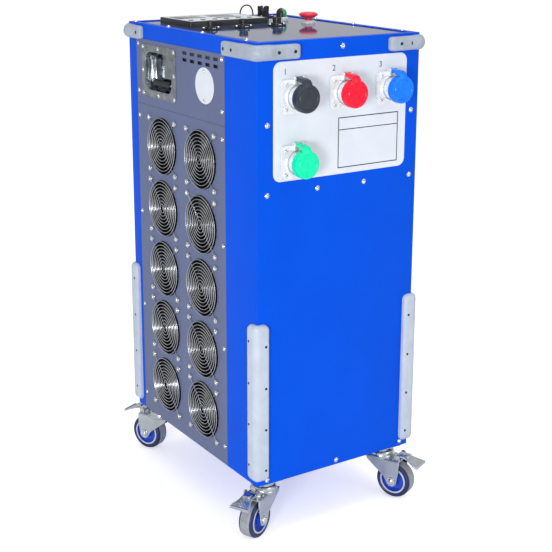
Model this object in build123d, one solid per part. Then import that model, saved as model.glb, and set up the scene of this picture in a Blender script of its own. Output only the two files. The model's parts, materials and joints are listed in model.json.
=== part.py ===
"""Mobile forced-air load bank: sheet-metal cabinet on braked swivel casters, ten axial fans on one side.

Millimetres, +Z up, floor at Z = 0. The connector face looks along -Y and the fan face along -X.
Every seat, hole and fit is worked out from the named sizes and clearances below.
"""
import math
import os

from build123d import *

# cabinet
WIDTH = 360.0
DEPTH = 488.0
HEIGHT = 832.0
GROUND = 110.0
SHEET = 1.5
SEAM = 0.5
RETURN_FRONT = 108.0
RETURN_BACK = 32.0
RETURN_RIGHT = 38.0
FLANGE = 18.0
BAND = 30.0
LIP = 14.0
TOP_PLATE_T = 2.0
PAN_T = 2.0
PAN_LIP = 24.0

# fan side
SPLIT_DOWN = 161.0
SPLIT_Z = HEIGHT - SPLIT_DOWN
FAN_SIZE = 120.0
FAN_DEPTH = 32.0
FAN_HOLE_R = 57.0
FAN_CENTRES_Y = (-45.5, 107.5)
FAN_FIRST_Z = 87.0
FAN_PITCH = 127.0
FAN_ROWS = int((SPLIT_Z - FAN_FIRST_Z - FAN_SIZE / 2) // FAN_PITCH) + 1
ROTOR_R = 52.0
ROTOR_HUB_R = 21.0
ROTOR_HUB_L = 20.0
BLADES = 5
BLADE_CHORD = 34.0
BLADE_T = 1.8
STRUT_T = 3.0
MOTOR_R = 22.0
MOTOR_SHAFT_R = 3.0
SHAFT_GAP = 0.4
BLADE_RAKE = 35.0
GUARD_R = 54.0
GUARD_BAR = 2.4
GUARD_EAR = 105.0
SLOT_W = 17.0
SLOT_H = 6.5
SLOT_PITCH_Y = 29.0
SLOT_FIRST_Y = -104.0
SLOT_ROWS_Z = (HEIGHT - 55.0, HEIGHT - 42.0)
DISC_R = 34.0
DISC_Y = -64.0
DISC_Z = HEIGHT - 95.0
DISC_T = 1.2

# recessed handle
DISH_W = 142.0
DISH_H = 104.0
DISH_Y = 117.0
DISH_Z = HEIGHT - 91.0
DISH_CAVITY_W = 108.0
DISH_CAVITY_H = 74.0
DISH_DEPTH = 24.0
DISH_WALL = 1.5
DISH_R = 5.0
BAIL_R = 3.5
BAIL_HALF = 43.0
BAIL_DROP = 48.0
BAIL_PIVOT_UP = 25.0
BAIL_IN = 9.0
BAIL_PIN_R = 2.5
BAIL_PIN_FIT = 0.25
GRIP_R = 6.5
GRIP_L = 66.0

# outlet side
LOUVRE_W = 330.0
LOUVRE_H = 12.0
LOUVRE_PITCH = 44.0
LOUVRE_ROWS = 14
LOUVRE_FIRST_Z = 60.0

# connector side
LABEL_X = (-146.0, 150.0)
LABEL_Z = (HEIGHT - 249.0, HEIGHT - 35.0)
LABEL_T = 1.5
LABEL_R = 15.0
PHASE_Z = HEIGHT - 97.0
EARTH_Z = HEIGHT - 214.0
INLETS = (("a", -102.0, PHASE_Z), ("b", 3.0, PHASE_Z), ("c", 108.0, PHASE_Z), ("ground", -102.0, EARTH_Z))
FLANGE_SIZE = 61.0
FLANGE_T = 8.0
FLANGE_R = 6.0
HOUSING_R = 21.3
HOUSING_L = 26.0
BORE_R = 12.0
BORE_L = 24.5
CAP_R = 25.5
CAP_T = 12.0
CAP_GAP = 0.3
SKIRT_L = 4.3
CAP_SIDES = 24
SKIRT_R = 24.0
HINGE_OUT = 13.0
HINGE_UP = 32.0
HINGE_PIN_R = 1.6
HINGE_FIT = 0.1
KNUCKLE_R = 4.0
KNUCKLE_HALF = 7.0
EAR_T = 3.0
EAR_GAP = 0.5
ARM_T = 4.0

# bumpers and corner guards
BUMPER_H = 28.0
BUMPER_DOWN = 32.0
BUMPER_Z = HEIGHT - BUMPER_DOWN
BUMPER_OUT = 16.0
BUMPER_FRONT = 88.0
BUMPER_SIDE = 109.0
BUMPER_SIDE_BACK = 63.0
BUMPER_RIGHT = 74.0
BUMPER_BEVEL = 7.0
GUARD_Z = (12.0, 322.0)
GUARD_LEG = 23.0
GUARD_OUT = 10.0
GUARD_BEVEL = 5.0

# top controls
BOX_X = (-133.0, 48.0)
BOX_Y = (DEPTH / 2 - 172.0, DEPTH / 2 - 45.0)
BOX_H = 11.0
BOX_RIM = 4.0
BOX_R = 5.0
AUX_Y = BOX_Y[0] - 57.0
AUX_XY = ((-119.0, AUX_Y), (-46.0, AUX_Y), (31.0, AUX_Y + 1))
AUX_BASE = 27.0
AUX_WING = 40.0
AUX_BASE_T = 2.5
AUX_R = 9.5
AUX_H = 17.0
LAMP_XY = (99.0, BOX_Y[0] + 29.0)
LAMP_BEZEL_R = 13.5
LAMP_BEZEL_H = 8.0
LAMP_R = 11.5
STOP_XY = (117.0, BOX_Y[0] - 41.0)
STOP_BEZEL_R = 14.0
STOP_BEZEL_H = 9.0
STOP_STEM_R = 7.5
STOP_FIT = 0.4
STOP_TRAVEL = 4.0
STOP_HEAD_R = 19.5
STOP_HEAD_H = 10.0
PLUG_XY = (115.0, DEPTH / 2 - 47.0)
PLUG_BASE = 36.0
PLUG_BASE_T = 3.0
PLUG_R = 12.5
PLUG_NECK_R = 9.0
PLUG_NECK_H = 8.0
PLUG_FIT = 0.35
PLUG_H = 23.0
PLUG_TEETH = 6
LANYARD_R = 1.5
LANYARD_BEND = 8.0
LANYARD_ROUTE = ((60.0, 203.0, 0.0), (60.0, 203.0, 26.0), (93.0, 203.0, 26.0), (93.0, 203.0, 0.0))

# casters
CASTER_INSET = (36.0, 34.0)
CASTER_X = WIDTH / 2 - CASTER_INSET[0]
CASTER_Y = DEPTH / 2 - CASTER_INSET[1]
CASTERS = (
    ("fl", -1, -1, -0.90, -0.44),
    ("fr", 1, -1, 0.41, -0.92),
    ("bl", -1, 1, -0.41, 0.92),
    ("br", 1, 1, 0.90, 0.44),
)
WHEEL_R = 37.5
WHEEL_W = 30.0
TREAD_T = 9.0
WHEEL_SIDES = 24
WEB_T = 12.0
SHOULDER = 4.0
TREAD_FIT = 0.02
HUB_W = 35.0
HUB_R = 11.0
AXLE_R = 4.0
AXLE_FIT = 0.3
TRAIL = 33.0
CHEEK_T = 3.0
CHEEK_GAP = 0.6
CROWN_Z = 79.0
CROWN_T = 4.0
RACE_R = 25.0
RACE_TOP = 95.0
RACE_GAP = 0.5
KING_R = 5.0
KING_FIT = 0.3
PLATE_W = 62.0
PLATE_T = 3.0
CROWN_BACK = 48.0
PEDAL_X = 42.0
PEDAL_Z = 90.0
PEDAL_PIN_R = 2.0
PEDAL_FIT = 0.3
PEDAL_W = 26.0
PEDAL_REACH = 90.0
PEDAL_TAB_W = 42.0
PEDAL_SLOPE = 14.0

# heating core
CORE_X = (-112.0, 152.0)
CORE_Y = 205.0
CORE_TOP = SPLIT_Z - 21.0
ROD_R = 10.0
ROD_COLS = 3
ROD_ROWS = 5
ROD_CLEAR = 40.0
BLOCKS = 4
BLOCK_PITCH = 70.0
BLOCK_FIRST_Y = -150.0
BLOCK_X = (40.0, 110.0)
BLOCK_L = 46.0
BLOCK_H = 70.0
BLOCK_CAP_H = 14.0
BLOCK_CAP_IN = (10.0, 8.0)

XL = -WIDTH / 2
XR = WIDTH / 2
YF = -DEPTH / 2
YB = DEPTH / 2
ZB = GROUND
ZT = GROUND + HEIGHT
PLATE_TOP = ZT - SHEET


def slab(x0, x1, y0, y1, z0, z1):
    """Box between two corners."""
    return Pos((x0 + x1) / 2, (y0 + y1) / 2, (z0 + z1) / 2) * Box(x1 - x0, y1 - y0, z1 - z0)


def rod_x(x0, x1, y, z, r):
    """Cylinder along X."""
    return Pos((x0 + x1) / 2, y, z) * Rot(0, 90, 0) * Cylinder(r, x1 - x0)


def rod_y(y0, y1, x, z, r):
    """Cylinder along Y."""
    return Pos(x, (y0 + y1) / 2, z) * Rot(90, 0, 0) * Cylinder(r, y1 - y0)


def rod_z(z0, z1, x, y, r):
    """Cylinder along Z."""
    return Pos(x, y, (z0 + z1) / 2) * Cylinder(r, z1 - z0)


def prism(axis, a0, a1, u, v, r, sides, turn=0.0):
    """Regular prism along X, Y or Z whose flats lie at distance r; u and v are the other two coordinates."""
    outline = Pos(u, v) * Rot(0, 0, turn) * RegularPolygon(r / math.cos(math.pi / sides), sides)
    if axis == "X":
        return extrude(Plane.YZ.offset(a0) * outline, a1 - a0)
    if axis == "Y":
        return extrude(Plane.XZ.offset(-a0) * outline, a0 - a1)
    return extrude(Plane.XY.offset(a0) * outline, a1 - a0)


def chamfered_box(x0, x1, y0, y1, z0, z1, axis, cut):
    """Box with the four edges along one axis chamfered."""
    shape = slab(x0, x1, y0, y1, z0, z1)
    return chamfer(shape.edges().filter_by(axis), cut)


def fan_centres():
    """All fan centres as (y, z) pairs."""
    return [(y, ZB + FAN_FIRST_Z + FAN_PITCH * row) for y in FAN_CENTRES_Y for row in range(FAN_ROWS)]


def front_panel():
    """Front sheet with its side returns, joggled flanges behind the side panels."""
    shape = slab(XL, XR, YF, YF + SHEET, ZB, ZT)
    shape += slab(XL, XL + SHEET, YF, YF + RETURN_FRONT, ZB, ZT)
    shape += slab(XR - SHEET, XR, YF, YF + RETURN_RIGHT, ZB, ZT)
    low = YF + RETURN_FRONT - 6
    shape += slab(XL + SHEET, XL + 2 * SHEET, low, low + FLANGE, ZB + PAN_LIP + 4, ZT - 2 * BAND)
    low = YF + RETURN_RIGHT - 6
    shape += slab(XR - 2 * SHEET, XR - SHEET, low, low + FLANGE, ZB + PAN_LIP + 4, ZT - 2 * BAND)
    return shape


def back_panel():
    """Back sheet with its side returns and joggled flanges."""
    shape = slab(XL, XR, YB - SHEET, YB, ZB, ZT)
    shape += slab(XL, XL + SHEET, YB - RETURN_BACK, YB, ZB, ZT)
    shape += slab(XR - SHEET, XR, YB - RETURN_RIGHT, YB, ZB, ZT)
    high = YB - RETURN_BACK + 6
    shape += slab(XL + SHEET, XL + 2 * SHEET, high - FLANGE, high, ZB + PAN_LIP + 4, ZT - 2 * BAND)
    high = YB - RETURN_RIGHT + 6
    shape += slab(XR - 2 * SHEET, XR - SHEET, high - FLANGE, high, ZB + PAN_LIP + 4, ZT - 2 * BAND)
    return shape


def right_panel():
    """Outlet side sheet with a column of louvre slots, each under a pressed hood."""
    y0 = YF + RETURN_RIGHT + SEAM
    y1 = YB - RETURN_RIGHT - SEAM
    shape = slab(XR - SHEET, XR, y0, y1, ZB, ZT - BAND - SEAM)
    for row in range(LOUVRE_ROWS):
        z = ZB + LOUVRE_FIRST_Z + LOUVRE_PITCH * row
        shape -= slab(XR - 5, XR + 1, -LOUVRE_W / 2, LOUVRE_W / 2, z, z + LOUVRE_H)
        hood = make_face(
            Polyline(
                (XR - SHEET, z + LOUVRE_H),
                (XR, z + LOUVRE_H + 4),
                (XR + 6, z + 2),
                (XR + 6, z),
                (XR + 4.5, z),
                close=True,
            )
        )
        shape += extrude(Plane.XZ.offset(-LOUVRE_W / 2) * hood, LOUVRE_W)
    return shape


def base_pan():
    """Bottom tray with upstands inside the wall sheets."""
    t = SHEET
    shape = slab(XL + t, XR - t, YF + t, YB - t, ZB, ZB + PAN_T)
    top = ZB + PAN_LIP
    shape += slab(XL + t, XL + 2 * t, YF + t, YB - t, ZB, top)
    shape += slab(XR - 2 * t, XR - t, YF + t, YB - t, ZB, top)
    shape += slab(XL + t, XR - t, YF + t, YF + 2 * t, ZB, top)
    shape += slab(XL + t, XR - t, YB - 2 * t, YB - t, ZB, top)
    return shape


def top_frame():
    """Lip around the top opening with the two side rails."""
    t = SHEET
    shape = slab(XL + t, XR - t, YF + t, YB - t, ZT - t, ZT)
    shape -= slab(XL + LIP, XR - LIP, YF + LIP, YB - LIP, ZT - 5, ZT + 1)
    shape += slab(XL, XL + t, YF + RETURN_FRONT, YB - RETURN_BACK, ZT - BAND, ZT)
    shape += slab(XR - t, XR, YF + RETURN_RIGHT, YB - RETURN_RIGHT, ZT - BAND, ZT)
    shape += slab(XL + t, XL + 2 * t, YF + RETURN_FRONT + 14, YB - RETURN_BACK - 14, ZT - BAND - 14, ZT - t)
    shape += slab(XR - 2 * t, XR - t, YF + RETURN_RIGHT + 14, YB - RETURN_RIGHT - 14, ZT - BAND - 14, ZT - t)
    return shape


def top_plate():
    """Inset top plate held under the lip."""
    return slab(XL + 4, XR - 4, YF + 4, YB - 4, PLATE_TOP - TOP_PLATE_T, PLATE_TOP)


def upper_side_panel():
    """Upper side sheet with two rows of vent slots and the handle cut-out."""
    y0 = YF + RETURN_FRONT + SEAM
    y1 = YB - RETURN_BACK - SEAM
    shape = slab(XL, XL + SHEET, y0, y1, ZB + SPLIT_Z, ZT - BAND - SEAM)
    for z in SLOT_ROWS_Z:
        for i in range(5):
            y = SLOT_FIRST_Y + SLOT_PITCH_Y * i
            shape -= slab(XL - 1, XL + 5, y - SLOT_W / 2, y + SLOT_W / 2, ZB + z - SLOT_H / 2, ZB + z + SLOT_H / 2)
    half_w = DISH_CAVITY_W / 2 + DISH_WALL + 0.5
    half_h = DISH_CAVITY_H / 2 + DISH_WALL + 0.5
    shape -= slab(XL - 1, XL + 5, DISH_Y - half_w, DISH_Y + half_w, ZB + DISH_Z - half_h, ZB + DISH_Z + half_h)
    return shape


def fan_panel():
    """Lower side sheet with ten round fan openings and a stiffening fold behind its top edge."""
    y0 = YF + RETURN_FRONT + SEAM
    y1 = YB - RETURN_BACK - SEAM
    shape = slab(XL, XL + SHEET, y0, y1, ZB, ZB + SPLIT_Z - SEAM)
    for y, z in fan_centres():
        shape -= prism("X", XL - 1, XL + 5, y, z, FAN_HOLE_R, 24)
    shape += slab(XL + SHEET, XL + 2 * SHEET, y0 + 14, y1 - 14, ZB + SPLIT_Z - 12, ZB + SPLIT_Z + 12)
    return shape


def label_plates():
    """Marking plate with rounded corners on the connector face, and the bare disc on the fan side."""
    cx = (LABEL_X[0] + LABEL_X[1]) / 2
    cz = ZB + (LABEL_Z[0] + LABEL_Z[1]) / 2
    face = Plane.XZ.offset(-YF) * Pos(cx, cz) * RectangleRounded(
        LABEL_X[1] - LABEL_X[0], LABEL_Z[1] - LABEL_Z[0], LABEL_R
    )
    plate = extrude(face, LABEL_T)
    disc = rod_x(XL - DISC_T, XL, DISC_Y, ZB + DISC_Z, DISC_R)
    return Compound(children=[plate, disc])


def bumper(sx, sy):
    """Rounded L bumper on one top corner."""
    front = BUMPER_FRONT if sx < 0 else BUMPER_RIGHT
    side = BUMPER_SIDE if sy < 0 else BUMPER_SIDE_BACK
    if sx > 0:
        side = BUMPER_RIGHT
    out = BUMPER_OUT
    b = BUMPER_BEVEL
    corner = 0.6 * out
    z0 = ZB + BUMPER_Z
    z1 = z0 + BUMPER_H
    plan = make_face(
        Polyline(
            (0, 0),
            (-front, 0),
            (-front, out - b),
            (-front + b, out),
            (out - corner, out),
            (out, out - corner),
            (out, -side + b),
            (out - b, -side),
            (0, -side),
            close=True,
        )
    )
    shape = extrude(plan, BUMPER_H)
    rims = []
    for e in shape.edges():
        c = e.center()
        flat = abs(c.Z) < 0.01 or abs(c.Z - BUMPER_H) < 0.01
        if flat and (c.X > 0.01 and c.Y > -side + 0.01 or c.Y > 0.01 and c.X > -front + 0.01):
            rims.append(e)
    shape = chamfer(rims, b - 1)
    if sx < 0:
        shape = mirror(shape, Plane.YZ)
    if sy < 0:
        shape = mirror(shape, Plane.XZ)
    return Pos(sx * WIDTH / 2, sy * DEPTH / 2, z0) * shape


def corner_bumpers():
    """Four top bumpers."""
    return Compound(children=[bumper(sx, sy) for sx in (-1, 1) for sy in (-1, 1)])


def corner_guard(sx, sy):
    """Rounded vertical guard around one lower corner."""
    leg = GUARD_LEG
    out = GUARD_OUT
    b = GUARD_BEVEL
    plan = make_face(
        Polyline(
            (0, 0),
            (-leg, 0),
            (-leg, out - b),
            (-leg + b, out),
            (0, out),
            (0.7 * out, 0.7 * out),
            (out, 0),
            (out, -leg + b),
            (out - b, -leg),
            (0, -leg),
            close=True,
        )
    )
    height = GUARD_Z[1] - GUARD_Z[0]
    shape = extrude(plan, height)
    ends = []
    for e in shape.edges():
        c = e.center()
        flat = abs(c.Z) < 0.01 or abs(c.Z - height) < 0.01
        if flat and (c.X > 0.01 and c.Y > -leg + 0.01 or c.Y > 0.01 and c.X > -leg + 0.01):
            ends.append(e)
    shape = chamfer(ends, b - 1)
    if sx < 0:
        shape = mirror(shape, Plane.YZ)
    if sy < 0:
        shape = mirror(shape, Plane.XZ)
    return Pos(sx * WIDTH / 2, sy * DEPTH / 2, ZB + GUARD_Z[0]) * shape


def corner_guards():
    """Four lower corner guards."""
    return Compound(children=[corner_guard(sx, sy) for sx in (-1, 1) for sy in (-1, 1)])


def fan_frame(y, z):
    """Square fan housing with round duct, two struts and the motor seat at its inner end."""
    x0 = XL + SHEET
    x1 = x0 + FAN_DEPTH
    half = FAN_SIZE / 2
    shape = slab(x0, x1, y - half, y + half, z - half, z + half)
    shape -= prism("X", x0 - 1, x1 + 1, y, z, FAN_HOLE_R, 16, 11.25)
    x_back = x1 - STRUT_T
    shape += slab(x_back, x1, y - half + 2, y + half - 2, z - 3, z + 3) + prism("X", x_back, x1, y, z, MOTOR_R, 8, 22.5)
    shape += prism("X", x_back - ROTOR_HUB_L - 2, x_back, y, z, MOTOR_SHAFT_R, 6)
    return shape


def fan_frames():
    """Ten fan housings behind the panel."""
    return Compound(children=[fan_frame(y, z) for y, z in fan_centres()])


def fan_rotor(y, z):
    """Hub with raked blades, running on the motor shaft."""
    x1 = XL + SHEET + FAN_DEPTH - STRUT_T - 1
    x0 = x1 - ROTOR_HUB_L
    shape = prism("X", x0, x1, y, z, ROTOR_HUB_R, 5, 36)
    length = ROTOR_R - ROTOR_HUB_R + 3
    for i in range(BLADES):
        blade = Pos(0, 0, ROTOR_R - length / 2) * Rot(0, 0, BLADE_RAKE) * Box(BLADE_T, BLADE_CHORD, length)
        shape += Pos((x0 + x1) / 2, y, z) * Rot(360 / BLADES * i + 18, 0, 0) * blade
    shape -= prism("X", x0 - 1, x1 + 1, y, z, MOTOR_SHAFT_R / math.cos(math.pi / 6) + SHAFT_GAP, 6)
    return shape


def fan_guard(y, z):
    """Wire guard reduced to its outer ring and the crossed radial wires that reach the screws."""
    outer = GUARD_R / math.cos(math.pi / 12)
    inner = (GUARD_R - GUARD_BAR) / math.cos(math.pi / 12)
    outline = RegularPolygon(outer, 12) - RegularPolygon(inner, 12)
    reach = GUARD_EAR * math.sqrt(2) + 8
    for turn in (45, 135):
        outline += Rot(0, 0, turn) * Rectangle(reach, GUARD_BAR)
    return extrude(Plane.YZ.offset(XL - GUARD_BAR) * Pos(y, z) * outline, GUARD_BAR)


def fan_guards():
    """Ten finger guards on the panel face."""
    return Compound(children=[fan_guard(y, z) for y, z in fan_centres()])


def inlet_flange(x, z):
    """Square cast flange with the two hinge ears and the fixed hinge pin."""
    y0 = YF - LABEL_T
    cz = ZB + z
    half = FLANGE_SIZE / 2
    shape = chamfered_box(x - half, x + half, y0 - FLANGE_T, y0, cz - half, cz + half, Axis.Y, FLANGE_R)
    hinge_y = y0 - HINGE_OUT
    hinge_z = cz + HINGE_UP
    for side in (-1, 1):
        a = x + side * (KNUCKLE_HALF + EAR_GAP)
        b = a + side * EAR_T
        shape += slab(min(a, b), max(a, b), hinge_y - 4, y0 - 1, hinge_z - 8, hinge_z + 4)
    pin = KNUCKLE_HALF + EAR_GAP + 1
    shape += prism("X", x - pin, x + pin, hinge_y, hinge_z, HINGE_PIN_R, 6)
    return shape


def inlet_flanges():
    """Four flanges on the marking plate."""
    return Compound(children=[inlet_flange(x, z) for _, x, z in INLETS])


def inlet_housing(x, z):
    """Insulated housing with the blind contact bore."""
    y0 = YF - LABEL_T - FLANGE_T
    shape = prism("Y", y0 - HOUSING_L, y0, x, ZB + z, HOUSING_R, 12)
    shape -= rod_y(y0 - HOUSING_L - 1, y0 - HOUSING_L + BORE_L, x, ZB + z, BORE_R)
    return shape


def inlet_sockets():
    """Four insulated housings."""
    return Compound(children=[inlet_housing(x, z) for _, x, z in INLETS])


def inlet_cap(x, z):
    """Hinged snap cap: stepped disc with a short skirt, and an arm back to the hinge knuckle."""
    cz = ZB + z
    y0 = YF - LABEL_T - FLANGE_T - HOUSING_L - CAP_GAP
    shape = prism("Y", y0 - CAP_T, y0 + SKIRT_L, x, cz, CAP_R, CAP_SIDES)
    shape = chamfer([e for e in shape.edges() if abs(e.center().Y - y0 + CAP_T) < 0.01], 2.5)
    shape -= prism("Y", y0, y0 + SKIRT_L + 1, x, cz, SKIRT_R, CAP_SIDES)
    hinge_y = YF - LABEL_T - HINGE_OUT
    hinge_z = cz + HINGE_UP
    w = KNUCKLE_HALF
    arm_z = hinge_z + KNUCKLE_R
    y_tip = y0 - CAP_T + 3
    shape += prism("X", x - w, x + w, hinge_y, hinge_z, KNUCKLE_R, 8, 22.5)
    arm = slab(x - w, x + w, y_tip, hinge_y, arm_z - ARM_T, arm_z) + slab(x - w, x + w, y_tip, y0 - 0.5, cz + CAP_R - 4, arm_z)
    shape += arm
    shape -= prism("X", x - w - 1, x + w + 1, hinge_y, hinge_z, HINGE_PIN_R / math.cos(math.pi / 6) + HINGE_FIT, 6)
    return shape


def handle_dish():
    """Pressed recess with a wide rim and two pivot bosses."""
    cy = DISH_Y
    cz = ZB + DISH_Z
    w = DISH_CAVITY_W / 2
    h = DISH_CAVITY_H / 2
    t = DISH_WALL
    x_rim = XL - t
    x_floor = XL + DISH_DEPTH
    rim = chamfered_box(x_rim, XL, cy - DISH_W / 2, cy + DISH_W / 2, cz - DISH_H / 2, cz + DISH_H / 2, Axis.X, DISH_R)
    shape = rim + slab(XL, x_floor, cy - w - t, cy + w + t, cz - h - t, cz + h + t)
    shape -= slab(x_rim - 1, x_floor - t, cy - w, cy + w, cz - h, cz + h)
    pivot_x = XL + BAIL_IN
    pivot_z = cz + BAIL_PIVOT_UP
    for side in (-1, 1):
        a = cy + side * w
        b = cy + side * (w - 5)
        shape += slab(XL + 2, x_floor - t, min(a, b), max(a, b), pivot_z - 6, pivot_z + 6)
        reach = (b - side, a + side * 0.5)
        shape -= prism("Y", min(reach), max(reach), pivot_x, pivot_z, BAIL_PIN_R + BAIL_PIN_FIT, 12)
    return shape


def handle_bail():
    """Bent rod of the handle: pivot pins, two legs and the bar through the grip."""
    cy = DISH_Y
    x = XL + BAIL_IN
    z1 = ZB + DISH_Z + BAIL_PIVOT_UP
    z0 = z1 - BAIL_DROP
    r = BAIL_R
    shape = prism("Y", cy - BAIL_HALF - r, cy + BAIL_HALF + r, x, z0, r, 8, 22.5)
    for side in (-1, 1):
        y = cy + side * BAIL_HALF
        shape += prism("Z", z0 - r * 0.4, z1 + r, x, y, r, 8, 22.5)
        b = cy + side * (DISH_CAVITY_W / 2 - 1)
        shape += prism("Y", min(y, b), max(y, b), x, z1, BAIL_PIN_R, 12)
    return shape


def handle_grip():
    """Moulded grip sleeve on the bail."""
    x = XL + BAIL_IN
    z = ZB + DISH_Z + BAIL_PIVOT_UP - BAIL_DROP
    half = GRIP_L / 2
    shape = prism("Y", DISH_Y - half, DISH_Y + half, x, z, GRIP_R, 12)
    shape -= prism("Y", DISH_Y - half - 1, DISH_Y + half + 1, x, z, BAIL_R + 0.05, 8, 22.5)
    return shape


def control_box():
    """Low control box with a raised rim around its display face."""
    cx = (BOX_X[0] + BOX_X[1]) / 2
    cy = (BOX_Y[0] + BOX_Y[1]) / 2
    w = BOX_X[1] - BOX_X[0]
    d = BOX_Y[1] - BOX_Y[0]
    shape = chamfered_box(cx - w / 2, cx + w / 2, cy - d / 2, cy + d / 2, PLATE_TOP, PLATE_TOP + BOX_H, Axis.Z, BOX_R)
    shape -= slab(BOX_X[0] + BOX_RIM, BOX_X[1] - BOX_RIM, BOX_Y[0] + BOX_RIM, BOX_Y[1] - BOX_RIM, PLATE_TOP + BOX_H - 0.8, PLATE_TOP + BOX_H + 1)
    return shape


def aux_socket(x, y):
    """Small round socket on a winged base."""
    z = PLATE_TOP
    shape = slab(x - AUX_BASE / 2, x + AUX_BASE / 2, y - AUX_BASE / 2, y + AUX_BASE / 2, z, z + AUX_BASE_T)
    shape += slab(x - AUX_WING / 2, x + AUX_WING / 2, y - 5, y + 5, z, z + AUX_BASE_T + 1)
    shape += prism("Z", z, z + 6, x, y, AUX_R + 2.5, 12)
    shape += prism("Z", z, z + AUX_H, x, y, AUX_R - 1.5, 12)
    return shape


def aux_sockets():
    """Row of three small sockets."""
    return Compound(children=[aux_socket(x, y) for x, y in AUX_XY])


def pilot_bezels():
    """Raised bezels under the lamp and the stop button; the second one is bored for the button stem."""
    lamp = prism("Z", PLATE_TOP, PLATE_TOP + LAMP_BEZEL_H, LAMP_XY[0], LAMP_XY[1], LAMP_BEZEL_R, 20)
    x, y = STOP_XY
    stop = prism("Z", PLATE_TOP, PLATE_TOP + STOP_BEZEL_H, x, y, STOP_BEZEL_R, 20)
    stop -= prism("Z", PLATE_TOP + 1, PLATE_TOP + STOP_BEZEL_H + 1, x, y, STOP_STEM_R + STOP_FIT, 16)
    return Compound(children=[lamp, stop])


def lamp_lens():
    """Hooded half-dome lens on the lamp bezel."""
    x, y = LAMP_XY
    z = PLATE_TOP + LAMP_BEZEL_H
    r = LAMP_R
    shape = prism("Z", z, z + 2 * r, x, y, r, 16)
    arc = [(r * math.sin(a), r * math.cos(a)) for a in [math.radians(15 * k) for k in range(7)]]
    hood = [(-0.45 * r, 0.0), (-0.45 * r, 0.9 * r)] + [(max(u, -0.45 * r), v) for u, v in arc if u > 0 or v > 0]
    outline = make_face(Polyline(*hood, close=True))
    dome = extrude(Plane.XZ.offset(-y - r) * Pos(x, z + 7) * outline, 2 * r)
    return shape & (slab(x - r, x + r, y - r, y + r, z, z + 7) + dome)


def estop_head():
    """Mushroom head and its guided stem."""
    x, y = STOP_XY
    z = PLATE_TOP + STOP_BEZEL_H + STOP_TRAVEL + 1.5
    head = prism("Z", z, z + STOP_HEAD_H, x, y, STOP_HEAD_R, 24)
    head = chamfer([e for e in head.edges() if abs(e.center().Z - z - STOP_HEAD_H) < 0.01], 3.5, 7.0)
    return head + prism("Z", PLATE_TOP + STOP_TRAVEL + 2, z + 1, x, y, STOP_STEM_R, 16)


def control_inlet():
    """Square base and round neck of the remote-control inlet."""
    x, y = PLUG_XY
    z = PLATE_TOP
    half = PLUG_BASE / 2
    shape = slab(x - half, x + half, y - half, y + half, z, z + PLUG_BASE_T)
    shape += prism("Z", z, z + PLUG_BASE_T + 3, x, y, PLUG_R, 16)
    shape += prism("Z", z, z + PLUG_BASE_T + 3 + PLUG_NECK_H, x, y, PLUG_NECK_R, 12)
    return shape


def control_cap():
    """Castellated screw cap over the inlet neck."""
    x, y = PLUG_XY
    z0 = PLATE_TOP + PLUG_BASE_T + 3.4
    z1 = PLATE_TOP + PLUG_H
    shape = prism("Z", z0, z1, x, y, PLUG_R, 18)
    neck = PLUG_NECK_R / math.cos(math.pi / 12) + PLUG_FIT
    shape -= prism("Z", z0 - 1, z0 + PLUG_NECK_H, x, y, neck, 12)
    shape -= prism("Z", z1 - 4, z1 + 1, x, y, PLUG_R - 4, 6)
    for i in range(PLUG_TEETH // 2):
        shape -= Pos(x, y, z1) * Rot(0, 0, 180 / (PLUG_TEETH // 2) * i) * Box(4 * PLUG_R, 5, 8)
    return shape


def lanyard():
    """Short cap lanyard looping from the top plate back to the inlet base."""
    pts = [(x, y, PLATE_TOP + z) for x, y, z in LANYARD_ROUTE]
    path = FilletPolyline(*pts, radius=LANYARD_BEND)
    start = Plane(origin=path @ 0, z_dir=path % 0)
    return sweep(start * RegularPolygon(LANYARD_R, 5), path=path)


def caster_frame(sx, sy, hx, hy):
    """Placement of one caster: its swivel axis at the floor, local X along the trail."""
    turn = math.degrees(math.atan2(hy, hx))
    return Pos(sx * CASTER_X, sy * CASTER_Y, 0) * Rot(0, 0, turn)


def caster_plate():
    """Bolted top plate with the upper race and king pin."""
    shape = slab(-PLATE_W / 2, PLATE_W / 2, -PLATE_W / 2, PLATE_W / 2, GROUND - PLATE_T, GROUND)
    shape += prism("Z", RACE_TOP + RACE_GAP, GROUND, 0, 0, RACE_R - 3, 16)
    shape += prism("Z", CROWN_Z + 0.5, RACE_TOP + 1, 0, 0, KING_R, 12)
    return shape


def caster_plates():
    """Four top plates, square to the cabinet."""
    return Compound(children=[Pos(sx * CASTER_X, sy * CASTER_Y, 0) * caster_plate() for _, sx, sy, _, _ in CASTERS])


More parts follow.
